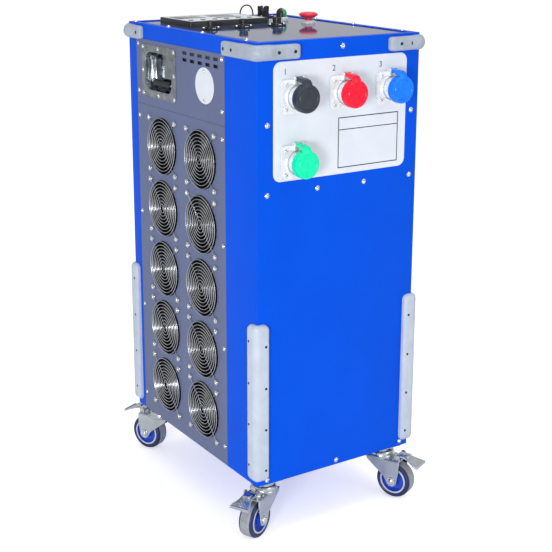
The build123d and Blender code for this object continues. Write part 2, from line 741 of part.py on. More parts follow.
def caster_fork():
    """Pressed fork: crown, race housing, tapering cheeks, pedal lugs, axle and pedal pin."""
    inner = HUB_W / 2 + CHEEK_GAP
    outer = inner + CHEEK_T
    top = CROWN_Z + CROWN_T
    shape = slab(-24, CROWN_BACK, -outer, outer, CROWN_Z, top)
    shape += prism("Z", CROWN_Z, RACE_TOP, 0, 0, RACE_R, 16)
    outline = make_face(
        Polyline(
            (-24, top),
            (CROWN_BACK, top),
            (CROWN_BACK, 62),
            (TRAIL + 11, WHEEL_R + 4),
            (TRAIL + 9, WHEEL_R - 7),
            (TRAIL, WHEEL_R - 11),
            (TRAIL - 9, WHEEL_R - 7),
            (TRAIL - 12, WHEEL_R + 4),
            (-14, 70),
            close=True,
        )
    )
    for y in (inner, -outer):
        shape += extrude(Plane.XZ.offset(-y) * outline, -CHEEK_T)
    shape += prism("Y", -outer - 1, outer + 1, TRAIL, WHEEL_R, AXLE_R, 12)
    for s in (-1, 1):
        nut = (s * outer, s * (outer + 5))
        shape += prism("Y", min(nut), max(nut), TRAIL, WHEEL_R, 6.5, 6)
        lug = (s * (PEDAL_W / 2 + 0.4), s * (PEDAL_W / 2 + 3.4))
        shape += slab(PEDAL_X - 7, PEDAL_X + 6, min(lug), max(lug), top - 1, PEDAL_Z + 5)
    pin = PEDAL_W / 2 + 1
    shape += prism("Y", -pin, pin, PEDAL_X, PEDAL_Z, PEDAL_PIN_R, 8)
    shape -= prism("Z", CROWN_Z - 1, RACE_TOP + 1, 0, 0, KING_R / math.cos(math.pi / 12) + KING_FIT, 12)
    return shape


def caster_wheel():
    """Moulded wheel centre with hub, web and rim."""
    rim = WHEEL_R - TREAD_T
    shape = prism("Y", -WHEEL_W / 2, WHEEL_W / 2, TRAIL, WHEEL_R, rim, WHEEL_SIDES, 180 / WHEEL_SIDES)
    shape -= prism("Y", -WHEEL_W / 2 - 1, -WEB_T / 2, TRAIL, WHEEL_R, rim - 4, 12)
    shape -= prism("Y", WEB_T / 2, WHEEL_W / 2 + 1, TRAIL, WHEEL_R, rim - 4, 12)
    shape += prism("Y", -HUB_W / 2, HUB_W / 2, TRAIL, WHEEL_R, HUB_R, 12)
    shape -= prism("Y", -HUB_W, HUB_W, TRAIL, WHEEL_R, AXLE_R / math.cos(math.pi / 12) + AXLE_FIT, 12)
    return shape


def caster_tyre():
    """Tread ring with bevelled shoulders, seated on the wheel centre."""
    half = WHEEL_W / 2
    turn = 180 / WHEEL_SIDES
    shape = prism("Y", -half, half, TRAIL, WHEEL_R, WHEEL_R, WHEEL_SIDES, turn)
    shape = chamfer([e for e in shape.edges() if abs(abs(e.center().Y) - half) < 0.01], SHOULDER)
    shape -= prism("Y", -WHEEL_W, WHEEL_W, TRAIL, WHEEL_R, WHEEL_R - TREAD_T + TREAD_FIT, WHEEL_SIDES, turn)
    return shape


def caster_pedal():
    """Brake pedal: bored block between the lugs, sloping plate with a raised block and a turned tab."""
    half = PEDAL_W / 2
    slope = math.tan(math.radians(PEDAL_SLOPE))
    profile = make_face(
        Polyline(
            (PEDAL_X - 6, PEDAL_Z - 4),
            (PEDAL_X - 6, PEDAL_Z + 4),
            (PEDAL_X + 4, PEDAL_Z + 4),
            (PEDAL_REACH - 8, PEDAL_Z + 4 - slope * (PEDAL_REACH - 12 - PEDAL_X)),
            (PEDAL_REACH - 8, PEDAL_Z + 1 - slope * (PEDAL_REACH - 12 - PEDAL_X)),
            (PEDAL_X + 8, PEDAL_Z - 2),
            (PEDAL_X + 6, PEDAL_Z - 4),
            close=True,
        )
    )
    shape = extrude(Plane.XZ.offset(half) * profile, -PEDAL_W)
    z_tab = PEDAL_Z + 2.5 - slope * (PEDAL_REACH - 12 - PEDAL_X)
    shape += slab(PEDAL_REACH - 12, PEDAL_REACH, -PEDAL_TAB_W / 2, PEDAL_TAB_W / 2, z_tab - 4, z_tab + 1)
    shape += slab(PEDAL_X + 10, PEDAL_X + 24, -8, 8, PEDAL_Z - 4, PEDAL_Z + 6)
    bore = PEDAL_PIN_R / math.cos(math.pi / 8) + PEDAL_FIT
    shape -= prism("Y", -half - 1, half + 1, PEDAL_X, PEDAL_Z, bore, 8)
    return shape


def element_frame():
    """End plates, posts and shelf carrying the heating rods and the switchgear above."""
    x0, x1 = CORE_X
    z0 = ZB + PAN_T
    z1 = ZB + CORE_TOP
    shape = slab(x0, x1, -CORE_Y, -CORE_Y + 2, z0, z1)
    shape += slab(x0, x1, CORE_Y - 2, CORE_Y, z0, z1)
    shape += slab(x0, x1, -CORE_Y, CORE_Y, z1 - 2, z1)
    return shape


def resistor_elements():
    """Grid of sheathed heating rods between the end plates."""
    x0, x1 = CORE_X
    rods = []
    for col in range(ROD_COLS):
        for row in range(ROD_ROWS):
            x = x0 + (x1 - x0) * (col + 0.5) / ROD_COLS
            z = ZB + ROD_CLEAR + (CORE_TOP - 2 * ROD_CLEAR) * (row + 0.5) / ROD_ROWS
            face = Plane.XZ.offset(CORE_Y - 2) * Pos(x, z) * RegularPolygon(ROD_R, 6)
            rods.append(extrude(face, -2 * (CORE_Y - 2)))
    return Compound(children=rods)


def contactors():
    """Row of switchgear blocks on the shelf."""
    z = ZB + CORE_TOP
    blocks = []
    x0, x1 = BLOCK_X
    dx, dy = BLOCK_CAP_IN
    top = z + BLOCK_H
    for i in range(BLOCKS):
        y = BLOCK_FIRST_Y + BLOCK_PITCH * i
        block = slab(x0, x1, y, y + BLOCK_L, z, top)
        block += slab(x0 + dx, x1 - dx, y + dy, y + BLOCK_L - dy, top, top + BLOCK_CAP_H)
        blocks.append(block)
    return Compound(children=blocks)


def all_parts():
    """Every node by name."""
    parts = {
        "front_panel": front_panel(),
        "back_panel": back_panel(),
        "right_panel": right_panel(),
        "base_pan": base_pan(),
        "top_frame": top_frame(),
        "top_plate": top_plate(),
        "upper_side_panel": upper_side_panel(),
        "fan_panel": fan_panel(),
        "label_plates": label_plates(),
        "corner_bumpers": corner_bumpers(),
        "corner_guards": corner_guards(),
        "caster_plates": caster_plates(),
        "fan_frames": fan_frames(),
        "fan_guards": fan_guards(),
        "inlet_flanges": inlet_flanges(),
        "inlet_sockets": inlet_sockets(),
        "handle_dish": handle_dish(),
        "handle_bail": handle_bail(),
        "handle_grip": handle_grip(),
        "control_box": control_box(),
        "aux_sockets": aux_sockets(),
        "pilot_bezels": pilot_bezels(),
        "lamp_lens": lamp_lens(),
        "estop_head": estop_head(),
        "control_inlet": control_inlet(),
        "control_cap": control_cap(),
        "lanyard": lanyard(),
        "element_frame": element_frame(),
        "resistor_elements": resistor_elements(),
        "contactors": contactors(),
    }
    for name, x, z in INLETS:
        parts["cap_" + name] = inlet_cap(x, z)
    for i, (y, z) in enumerate(fan_centres()):
        parts["rotor_%02d" % (i + 1)] = fan_rotor(y, z)
    fork = caster_fork()
    wheel = caster_wheel()
    tyre = caster_tyre()
    pedal = caster_pedal()
    for name, sx, sy, hx, hy in CASTERS:
        place = caster_frame(sx, sy, hx, hy)
        parts["fork_" + name] = place * fork
        parts["wheel_" + name] = place * wheel
        parts["tyre_" + name] = place * tyre
        parts["pedal_" + name] = place * pedal
    return parts


os.makedirs("parts", exist_ok=True)
for node, shape in all_parts().items():
    export_step(shape, "parts/%s.step" % node)
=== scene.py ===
"""Looks for the wheeled load bank: wire guards, caps, screws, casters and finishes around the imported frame.

Metres, +Z up, floor at Z = 0. The connector face looks along -Y and the fan face along -X.
"""
import json
import math

import bmesh
import bpy
import numpy as np
from mathutils import Matrix, Vector


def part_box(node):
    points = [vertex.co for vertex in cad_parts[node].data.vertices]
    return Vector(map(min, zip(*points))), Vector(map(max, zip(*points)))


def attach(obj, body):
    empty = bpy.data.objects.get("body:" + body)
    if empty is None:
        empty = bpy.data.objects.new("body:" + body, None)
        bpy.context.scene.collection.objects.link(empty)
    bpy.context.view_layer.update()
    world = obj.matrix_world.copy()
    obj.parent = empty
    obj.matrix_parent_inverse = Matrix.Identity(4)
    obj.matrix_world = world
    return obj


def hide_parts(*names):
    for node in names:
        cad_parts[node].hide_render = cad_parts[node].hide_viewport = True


bl_info = {
    "name": "Load Bank Looks",
    "version": (1, 0, 0),
    "blender": (4, 5, 0),
    "location": "View3D > Sidebar > Load Bank",
    "description": "Dresses the packed load bank frame with its visible pieces and finishes",
    "category": "Object",
}

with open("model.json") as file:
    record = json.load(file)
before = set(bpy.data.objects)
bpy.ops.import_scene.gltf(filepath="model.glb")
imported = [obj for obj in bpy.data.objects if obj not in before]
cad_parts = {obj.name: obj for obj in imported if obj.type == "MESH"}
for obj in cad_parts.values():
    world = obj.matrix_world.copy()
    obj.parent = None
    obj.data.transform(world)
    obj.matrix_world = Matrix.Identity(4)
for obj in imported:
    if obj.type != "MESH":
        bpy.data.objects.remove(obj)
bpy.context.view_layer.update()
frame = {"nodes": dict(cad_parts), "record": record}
RECORD = frame["record"]
JOINTS = {j["name"]: j for j in RECORD["behaviour"]["joints"]}
MM = 0.001
# outward directions of the fan face, the connector face and the top
FAN_OUT, FRONT_OUT, UP = (-1, 0, 0), (0, -1, 0), (0, 0, 1)
CORNERS = ((-1, -1), (-1, 1), (1, -1), (1, 1))

# ------------------------------------------------------------------ places read from the frame


def lo_hi(node):
    """Lowest and highest corner of a frame node as arrays."""
    low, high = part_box(node)
    return np.array(low), np.array(high)


(XL, YF, ZB), (XR, _, ZT) = lo_hi("front_panel")
YB = lo_hi("back_panel")[1][1]
WIDTH_HALF, DEPTH_HALF = (XR - XL) / 2, (YB - YF) / 2
PLATE_TOP = lo_hi("top_plate")[1][2]
FAN_LO, FAN_HI = lo_hi("fan_panel")
LABEL_LO, LABEL_HI = lo_hi("label_plates")
FAN_AXES = [np.array(JOINTS["rotor_%02d_spin" % (i + 1)]["pos_m"]) for i in range(10)]
# half the screw spacing of a fan frame, in millimetres
FAN_SCREW = 52.5
# outer radius of the folded sheet
BEND_RADIUS = 1.3 * MM
# inlet caps and their finishes
CAPS = {"a": "cap_black", "b": "cap_red", "c": "cap_blue", "ground": "cap_green"}
CASTER_NAMES = ("fl", "fr", "bl", "br")
MATERIALS = {}

# ------------------------------------------------------------------ small geometry helpers


def rgb(code):
    """sRGB hex code to linear RGBA: c / 12.92 below 0.04045, else ((c + 0.055) / 1.055) ^ 2.4."""
    c = np.array([int(code[i : i + 2], 16) / 255 for i in (0, 2, 4)])
    c = np.where(c <= 0.04045, c / 12.92, ((c + 0.055) / 1.055) ** 2.4)
    return (*[float(v) for v in c], 1.0)


def mm(*values):
    """Vector given in millimetres, as metres."""
    return np.array(values, float) * MM


def unit(v):
    """Vector of length one."""
    v = np.asarray(v, float)
    return v / np.linalg.norm(v)


def across(axis):
    """Two unit vectors square to an axis."""
    axis = unit(axis)
    ref = np.array([0.0, 0.0, 1.0]) if abs(axis[2]) < 0.9 else np.array([1.0, 0.0, 0.0])
    u = unit(np.cross(ref, axis))
    return u, np.cross(axis, u)


def grid_faces(m, n, wrap_m=False, wrap_n=False):
    """Quads of an m by n grid of points, row by row, joined round where it wraps."""
    i, j = np.meshgrid(np.arange(m if wrap_m else m - 1), np.arange(n if wrap_n else n - 1), indexing="ij")
    i, j = i.ravel(), j.ravel()
    k, l = (i + 1) % m, (j + 1) % n
    return np.stack([i * n + j, i * n + l, k * n + l, k * n + j], -1)


def end_caps(m, n):
    """First and last ring of an m by n grid as flat faces."""
    return [list(range(n))[::-1], list(range((m - 1) * n, m * n))]


def revolve(profile, origin, axis, sides=48, start=0.0, turn=2 * math.pi):
    """Profile (radius, height) turned round an axis: origin + axis * h + radius * (u cos a + v sin a)."""
    profile = np.asarray(profile, float)
    u, v = across(axis)
    whole = turn > 6.28
    a = start + np.linspace(0, turn, sides + (0 if whole else 1), endpoint=not whole)
    ring = np.cos(a)[:, None] * u + np.sin(a)[:, None] * v
    pts = np.asarray(origin) + profile[:, None, 1:2] * unit(axis) + profile[:, None, 0:1] * ring[None]
    return pts.reshape(-1, 3), grid_faces(len(profile), len(a), False, whole), []


def tube(path, radius, sides=8, closed=False):
    """Circle of the given radius carried along a flat path, square to its tangent."""
    path = np.asarray(path, float)
    if closed:
        tangent = np.roll(path, -1, 0) - np.roll(path, 1, 0)
    else:
        tangent = np.gradient(path, axis=0)
    tangent /= np.linalg.norm(tangent, axis=1)[:, None]
    spread = np.linalg.svd(path - path.mean(0))[2]
    normal = spread[2] if np.linalg.norm(np.cross(tangent[0], spread[2])) > 0.5 else across(tangent[0])[0]
    side = np.cross(tangent, normal)
    side /= np.linalg.norm(side, axis=1)[:, None]
    up = np.cross(side, tangent)
    a = np.linspace(0, 2 * math.pi, sides, endpoint=False)
    cos, sin = np.cos(a)[None, :, None], np.sin(a)[None, :, None]
    pts = path[:, None] + radius * (cos * side[:, None] + sin * up[:, None])
    caps = [] if closed else end_caps(len(path), sides)
    return pts.reshape(-1, 3), grid_faces(len(path), sides, closed, True), caps


def loft(sections):
    """Closed outlines (m, n, 3) joined in order, with a flat cap on each end."""
    sections = np.asarray(sections, float)
    m, n = sections.shape[:2]
    return sections.reshape(-1, 3), grid_faces(m, n, False, True), end_caps(m, n)


def rounded(w, h, r, steps=5):
    """Rectangle outline w by h with corner arcs of radius r, anticlockwise."""
    a = np.linspace(0, math.pi / 2, steps)
    out = []
    for k, (sx, sy) in enumerate(((1, 1), (-1, 1), (-1, -1), (1, -1))):
        ang = a + k * math.pi / 2
        out.append(np.stack([sx * (w / 2 - r) + r * np.cos(ang), sy * (h / 2 - r) + r * np.sin(ang)], -1))
    return np.concatenate(out)


def arc(cx, cy, r, a0, a1, steps=8):
    """Points on a circle between two angles in degrees."""
    a = np.radians(np.linspace(a0, a1, steps))
    return np.stack([cx + r * np.cos(a), cy + r * np.sin(a)], -1)


def inset(outline, d):
    """Outline moved inwards by d along its corner bisectors."""
    nxt, prv = np.roll(outline, -1, 0), np.roll(outline, 1, 0)
    area = 0.5 * np.sum(outline[:, 0] * nxt[:, 1] - nxt[:, 0] * outline[:, 1])
    e0, e1 = outline - prv, nxt - outline
    e0 /= np.maximum(np.linalg.norm(e0, axis=1), 1e-9)[:, None]
    e1 /= np.maximum(np.linalg.norm(e1, axis=1), 1e-9)[:, None]
    n0 = np.stack([-e0[:, 1], e0[:, 0]], -1)
    n1 = np.stack([-e1[:, 1], e1[:, 0]], -1)
    mid = n0 + n1
    mid /= np.maximum(np.sum(mid * n0, 1), 0.5)[:, None]
    return outline + np.sign(area) * d * mid


def shaded(shell, index):
    """The same shell with a material index."""
    return (shell[0], shell[1], shell[2], index)


def turned(profile, origin, axis, sides=48, index=0):
    """Profile in millimetres turned round an axis, with its material index."""
    return shaded(revolve(np.array(profile, float) * MM, origin, axis, sides), index)


def raised(outline, levels, place):
    """Outline at each level (height, inset) in millimetres; place is (origin, x, y and height axis)."""
    origin, ux, uy, uz = [np.asarray(v, float) for v in place]
    rows = []
    for height, d in levels:
        o = inset(np.array(outline, float), d) * MM
        rows.append(origin + o[:, :1] * ux + o[:, 1:2] * uy + height * MM * uz)
    return np.array(rows)


def slab(outline, levels, place, index=0):
    """Closed block of an outline raised through its levels, with its material index."""
    return shaded(loft(raised(outline, levels, place)), index)


def stroke(outline, width, height, place, index):
    """Closed line of constant width along the inside of an outline, raised by a small height."""
    rows = raised(outline, [(0, 0), (height, 0), (height, width), (0, width)], place)
    return rows.reshape(-1, 3), grid_faces(4, len(outline), True, True), [], index


def eased(h0, h1, r):
    """Levels from h0 to h1 with both rims rounded by r."""
    return [(h0, r), (h0 + 0.3 * r, 0.3 * r), (h0 + r, 0), (h1 - r, 0), (h1 - 0.3 * r, 0.3 * r), (h1, r)]


def front_place(x, z, y):
    """Drawing plane on the connector face: x right, y up, height outwards."""
    return ((x, y, z), (1, 0, 0), UP, FRONT_OUT)


def side_place(y, z, x):
    """Drawing plane on the fan face, height outwards."""
    return ((x, y, z), (0, -1, 0), UP, FAN_OUT)


def top_place(x, y, z):
    """Drawing plane on the top, height upwards."""
    return ((x, y, z), (1, 0, 0), (0, 1, 0), UP)


def piece(name, shells, finishes, body, hides=(), sharp=32):
    """Mesh object from shells (points, quads, caps, material index), merged, turned outwards, on its body."""
    verts, faces, index, base = [], [], [], 0
    for shell in shells:
        pts, quads, caps = shell[:3]
        which = shell[3] if len(shell) > 3 else 0
        verts.append(pts)
        rows = (quads + base).tolist() + [[k + base for k in cap] for cap in caps]
        faces += rows
        index += [which] * len(rows)
        base += len(pts)
    mesh = bpy.data.meshes.new(name)
    mesh.from_pydata(np.concatenate(verts).tolist(), [], faces)
    for finish in finishes:
        mesh.materials.append(MATERIALS[finish])
    mesh.polygons.foreach_set("material_index", np.array(index, np.int32))
    bm = bmesh.new()
    bm.from_mesh(mesh)
    bmesh.ops.remove_doubles(bm, verts=bm.verts, dist=1e-6)
    bmesh.ops.dissolve_degenerate(bm, edges=bm.edges, dist=1e-7)
    bmesh.ops.recalc_face_normals(bm, faces=bm.faces)
    limit = math.radians(sharp)
    for e in bm.edges:
        e.smooth = e.calc_face_angle(0.0) < limit
    for f in bm.faces:
        f.smooth = True
    bm.to_mesh(mesh)
    bm.free()
    obj = bpy.data.objects.new(name, mesh)
    bpy.context.scene.collection.objects.link(obj)
    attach(obj, body)
    if hides:
        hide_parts(*hides)
    return obj


def dome_screw(at, axis, r, h, index=0, sides=20):
    """Screw head of radius r and height h in millimetres: a quarter ellipse over a washer, with a recess."""
    t = np.linspace(0, math.pi / 2, 6)[:-2]
    dome = [(r * 0.8 * math.cos(a), 0.35 * h + 0.65 * h * math.sin(a)) for a in t]
    washer = [(0, 0), (r, 0), (r, 0.18 * h), (0.92 * r, 0.3 * h)]
    recess = [(0.34 * r, h), (0.3 * r, 0.45 * h), (0, 0.4 * h)]
    return turned(washer + dome + recess, at, axis, sides, index)


# ------------------------------------------------------------------ materials


def node(tree, kind, sockets=None, **settings):
    """Adds one node, sets its properties and fills its sockets with values or links."""
    n = tree.nodes.new(kind)
    for key, value in settings.items():
        setattr(n, key, value)
    for key, value in (sockets or {}).items():
        if isinstance(value, bpy.types.NodeSocket):
            tree.links.new(value, n.inputs[key])
        else:
            n.inputs[key].default_value = value
    return n


def surface(name, dark, light, grain_mm, rough, bump=0.0, metallic=0.0, coat=0.0, fine_mm=None, shine=0.5):
    """Two close tones mixed by noise of a real grain size, roughness between two values, and a fine bump."""
    mat = bpy.data.materials.new(name)
    mat.use_nodes = True
    t = mat.node_tree
    t.nodes.clear()
    place = node(t, "ShaderNodeTexCoord")
    where = place.outputs["Object"]
    scale, fine_scale = 1 / (grain_mm * MM), 1 / ((fine_mm or grain_mm / 6) * MM)
    grain = {"Vector": where, "Scale": scale, "Detail": 4.0, "Roughness": 0.55}
    noise = node(t, "ShaderNodeTexNoise", grain)
    fine = node(t, "ShaderNodeTexNoise", {"Vector": where, "Scale": fine_scale, "Detail": 2.0})
    spread = {"Value": noise.outputs["Fac"], "From Min": 0.3, "From Max": 0.7}
    tone = node(t, "ShaderNodeMapRange", spread)
    colour = node(t, "ShaderNodeMix", {0: tone.outputs[0], 6: rgb(dark), 7: rgb(light)}, data_type="RGBA")
    gloss = node(t, "ShaderNodeMapRange", {**spread, "To Min": rough[0], "To Max": rough[1]})
    relief = node(t, "ShaderNodeBump", {"Height": fine.outputs["Fac"], "Strength": bump, "Distance": 0.0004})
    shader = node(
        t,
        "ShaderNodeBsdfPrincipled",
        {
            "Base Color": colour.outputs[2],
            "Roughness": gloss.outputs[0],
            "Normal": relief.outputs[0],
            "Metallic": metallic,
            "Coat Weight": coat,
            "Coat Roughness": 0.08,
            "Specular IOR Level": shine,
        },
    )
    node(t, "ShaderNodeOutputMaterial", {"Surface": shader.outputs[0]}, is_active_output=True)
    return mat


# each finish, named for the real material, except the recess finish that paints shade: two close tones, grain
# in mm, roughness range, bump, then metallic, coat, fine grain in mm and specular level where they differ
# from the usual
FINISHES = {
    # polyester powder coat: even saturated colour with a soft orange peel of about 2 mm
    "blue_paint": ("blue_powder_coat", "004CD0", "0051DA", 160, (0.36, 0.40), 0.05, 0, 0.0, 2.2, 0.06),
    "grey_paint": ("grey_powder_coat", "5A6488", "5F698D", 70, (0.36, 0.44), 0.10, 0, 0.05, 1.8, 0.3),
    # baked enamel on a flat plate: near mirror gloss, faint waviness
    "grey_gloss": ("grey_baked_enamel", "33456E", "3B4D78", 120, (0.05, 0.08), 0.02, 0, 0.0, 14, 0.3),
    # satin polycarbonate laminate: clean white with a slight cold tint
    "white_plate": ("white_laminate", "D2D9E3", "D9DFE8", 60, (0.34, 0.42), 0.04, 0, 0, 1.2, 0.2),
    # injection moulded thermoplastic elastomer: pale grey, mottled, soft sheen
    "grey_bumper": ("grey_moulded_elastomer", "939DAD", "A3ADBC", 25, (0.42, 0.55), 0.22, 0, 0, 1.4),
    "guard_moulding": ("pale_moulded_elastomer", "AEB8C9", "BBC5D4", 30, (0.40, 0.5), 0.15, 0, 0, 1.4),
    # bright zinc plate on pressed steel: cool, slightly cloudy metal
    "zinc": ("bright_zinc_plate", "B9C0C5", "CFD5DA", 22, (0.15, 0.26), 0.05, 1.0, 0, 2.5),
    "chrome": ("polished_chrome", "C4C8CE", "DEE2E6", 14, (0.05, 0.14), 0.03, 1.0, 0, 3),
    "guard_wire": ("drawn_chromed_wire", "A4A8AC", "BABEC2", 6, (0.20, 0.28), 0.02, 1.0),
    "dish_chrome": ("plated_pressed_steel", "7E858C", "A4ABB1", 18, (0.07, 0.20), 0.05, 1.0, 0, 4),
    "screw_steel": ("nickel_plated_steel", "CFD2D3", "EDEFEF", 4, (0.10, 0.22), 0.05, 1.0),
    # moulded ABS: near black, fine spark-eroded texture
    "black_plastic": ("black_moulded_abs", "101114", "191B1F", 12, (0.34, 0.48), 0.2, 0, 0, 0.9),
    "black_gloss": ("black_glass_panel", "08090B", "0E1013", 60, (0.06, 0.10), 0.0),
    "flange_metal": ("satin_cast_aluminium", "DDE1E6", "EEF1F4", 8, (0.26, 0.38), 0.15, 0.35, 0, 0.9),
    "cap_black": ("charcoal_moulded_nylon", "2A2F3A", "333944", 14, (0.28, 0.38), 0.1, 0, 0, 0.9, 0.35),
    "cap_red": ("red_moulded_nylon", "E80A2E", "F2163A", 14, (0.24, 0.32), 0.06, 0, 0, 0.9, 0.3),
    "cap_blue": ("blue_moulded_nylon", "0070E8", "087CF4", 14, (0.24, 0.32), 0.06, 0, 0, 0.9, 0.3),
    "cap_green": ("green_moulded_nylon", "00DCA2", "08E8B0", 14, (0.24, 0.32), 0.06, 0, 0, 0.9, 0.3),
    "wheel_blue": ("blue_wheel_nylon", "103CB0", "1B4CC8", 12, (0.24, 0.36), 0.12),
    "wheel_ring": ("pale_wheel_ring_nylon", "B4BAC4", "C8CED6", 12, (0.30, 0.42), 0.10),
    # cast polyurethane tread: grey, scuffed by the floor
    "tyre_grey": ("grey_polyurethane_tread", "84888F", "A0A4AA", 7, (0.42, 0.62), 0.35, 0, 0, 1.2),
    "tyre_edge": ("dark_tread_shoulder", "101C48", "1C2C60", 8, (0.36, 0.5), 0.2),
    "red_plastic": ("red_gloss_abs", "E01A34", "EC2A40", 10, (0.14, 0.22), 0.03),
    "white_plastic": ("white_gloss_abs", "D8DCE0", "E4E8EA", 12, (0.18, 0.28), 0.05),
    "green_lens": ("green_polycarbonate_lens", "008A58", "08B478", 6, (0.06, 0.12), 0.05, 0, 0.5),
    "bare_steel": ("mill_finish_steel", "6F7276", "8A8D90", 20, (0.35, 0.5), 0.15, 0.9),
    # black PVC of the lanyard cord; the same black also paints the shade inside the cabinet behind the vent
    # slots
    "cord_black": ("black_pvc_jacket", "0B0B0D", "141416", 6, (0.35, 0.5), 0.15),
    "print_black": ("black_screen_print", "16181C", "1D2024", 20, (0.4, 0.5), 0.0),
    # flush dark discs over the sunk screws: painted shade of their recesses
    "hole_dark": ("dark_screw_recess", "15171A", "23262A", 5, (0.3, 0.45), 0.1, 0.4),
}


def make_materials(p):
    """Every finish of the object, and the clear layer on the blue paint."""
    for key, values in FINISHES.items():
        MATERIALS[key] = surface(*values)
    shader = MATERIALS["blue_paint"].node_tree.nodes["Principled BSDF"]
    shader.inputs["Coat Roughness"].default_value = p.coat_roughness


def dress_frame():
    """Gives each frame node the finish of its record slot."""
    for sub in RECORD["subparts"]:
        obj = frame["nodes"][sub["node"]]
        obj.data.materials.clear()
        obj.data.materials.append(MATERIALS[sub["material_slot"]])


def folded_panel(node_name, radius):
    """Copy of a folded panel whose outer upright corners are rounded to the bend radius."""
    copy = frame["nodes"][node_name].copy()
    copy.data = copy.data.copy()
    copy.name = "folded_" + node_name
    copy.data.name = copy.name
    bpy.context.scene.collection.objects.link(copy)
    bm = bmesh.new()
    bm.from_mesh(copy.data)
    bmesh.ops.remove_doubles(bm, verts=bm.verts, dist=1e-6)
    bmesh.ops.dissolve_limit(bm, angle_limit=math.radians(0.5), verts=bm.verts, edges=bm.edges)
    bends = []
    for e in bm.edges:
        a, b = (copy.matrix_world @ v.co for v in e.verts)
        upright = math.hypot(a.x - b.x, a.y - b.y) < 1e-5 and abs(a.z - b.z) > 0.02
        corner = min(abs(a.x - XL), abs(a.x - XR)) < 1e-4 and min(abs(a.y - YF), abs(a.y - YB)) < 1e-4
        if upright and corner:
            bends.append(e)
    shape = {"offset_type": "OFFSET", "segments": 4, "profile": 0.5, "affect": "EDGES"}
    bmesh.ops.bevel(bm, geom=bends, offset=radius, **shape)
    for f in bm.faces:
        f.smooth = True
    for e in bm.edges:
        e.smooth = e.calc_face_angle(0.0) < math.radians(32)
    bm.to_mesh(copy.data)
    bm.free()
    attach(copy, "cabinet")
    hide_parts(node_name)


# ------------------------------------------------------------------ settings


class LoadBankSettings(bpy.types.PropertyGroup):
    """Sizes and colours that a user would change."""

    screw_radius: bpy.props.FloatProperty(
        name="Screw radius",
        description="Radius of the dome-head panel screws",
        default=5.0 * MM,
        unit="LENGTH",
    )
    wire: bpy.props.FloatProperty(
        name="Guard wire", description="Wire diameter of the fan guards", default=2.0 * MM, unit="LENGTH"
    )
    rings: bpy.props.IntProperty(
        name="Guard rings", description="Rings in each fan guard", default=8, min=2, max=14
    )
    blades: bpy.props.IntProperty(
        name="Fan blades", description="Blades on each fan rotor", default=5, min=3, max=11
    )
    coat_roughness: bpy.props.FloatProperty(
        name="Coat roughness",
        description="Roughness of the clear layer on the blue paint",
        default=0.10,
        min=0,
        max=1,
    )
    floor_colour: bpy.props.FloatVectorProperty(
        name="Floor colour",
        description="Colour of the studio floor",
        subtype="COLOR",
        size=4,
        default=rgb("F7F7F7"),
    )
    world_level: bpy.props.FloatProperty(
        name="World level", description="Strength of the even studio light", default=0.62, min=0
    )
    key_power: bpy.props.FloatProperty(
        name="Key power",
        description="Power of the lamp that faces the near upright corner",
        default=62.0,
        unit="POWER",
    )


class LoadBankOperator:
    """Shared access to the settings."""

    bl_options = {"REGISTER", "UNDO"}

    @staticmethod
    def settings():
        """The property group of the scene."""
        return bpy.context.scene.load_bank


class LOADBANK_OT_finishes(LoadBankOperator, bpy.types.Operator):
    """Make all materials and dress the frame nodes"""

    bl_idname = "loadbank.finishes"
    bl_label = "Finishes"

    def execute(self, context):
        make_materials(self.settings())
        dress_frame()
        for name in ("front_panel", "back_panel"):
            folded_panel(name, BEND_RADIUS)
        return {"FINISHED"}


class LOADBANK_OT_stage(LoadBankOperator, bpy.types.Operator):
    """Make the floor, the studio light and the camera"""

    bl_idname = "loadbank.stage"
    bl_label = "Stage"

    def execute(self, context):
        p = self.settings()
        make_floor(p)
        make_light(p)
        make_camera()
        return {"FINISHED"}


# floor: half its side, and the strength that the camera sees it glow with
FLOOR_HALF, FLOOR_GLOW = 14.0, 0.45
# area lamps: name, place, aim height, side, share of the key power
LAMPS = (
    ("key_lamp", (-2.6, -2.4, 0.9), 0.5, 0.7, 1.0),
    ("fill_lamp", (1.2, -3.0, 1.9), 0.55, 1.8, 0.23),
    ("top_lamp", (0.2, -0.2, 3.4), 0.5, 2.0, 0.5),
)
# camera: place, azimuth, elevation and roll in degrees, sensor width and lens in mm, vertical shift, far clip
CAMERA_AT = (-1.2827, -1.9939, 1.1645)
CAMERA_TURN = (-33.16, 14.77, 0.15)
SENSOR, LENS, SHIFT_UP, FAR = 36.0, 78.574, -0.0906, 50.0


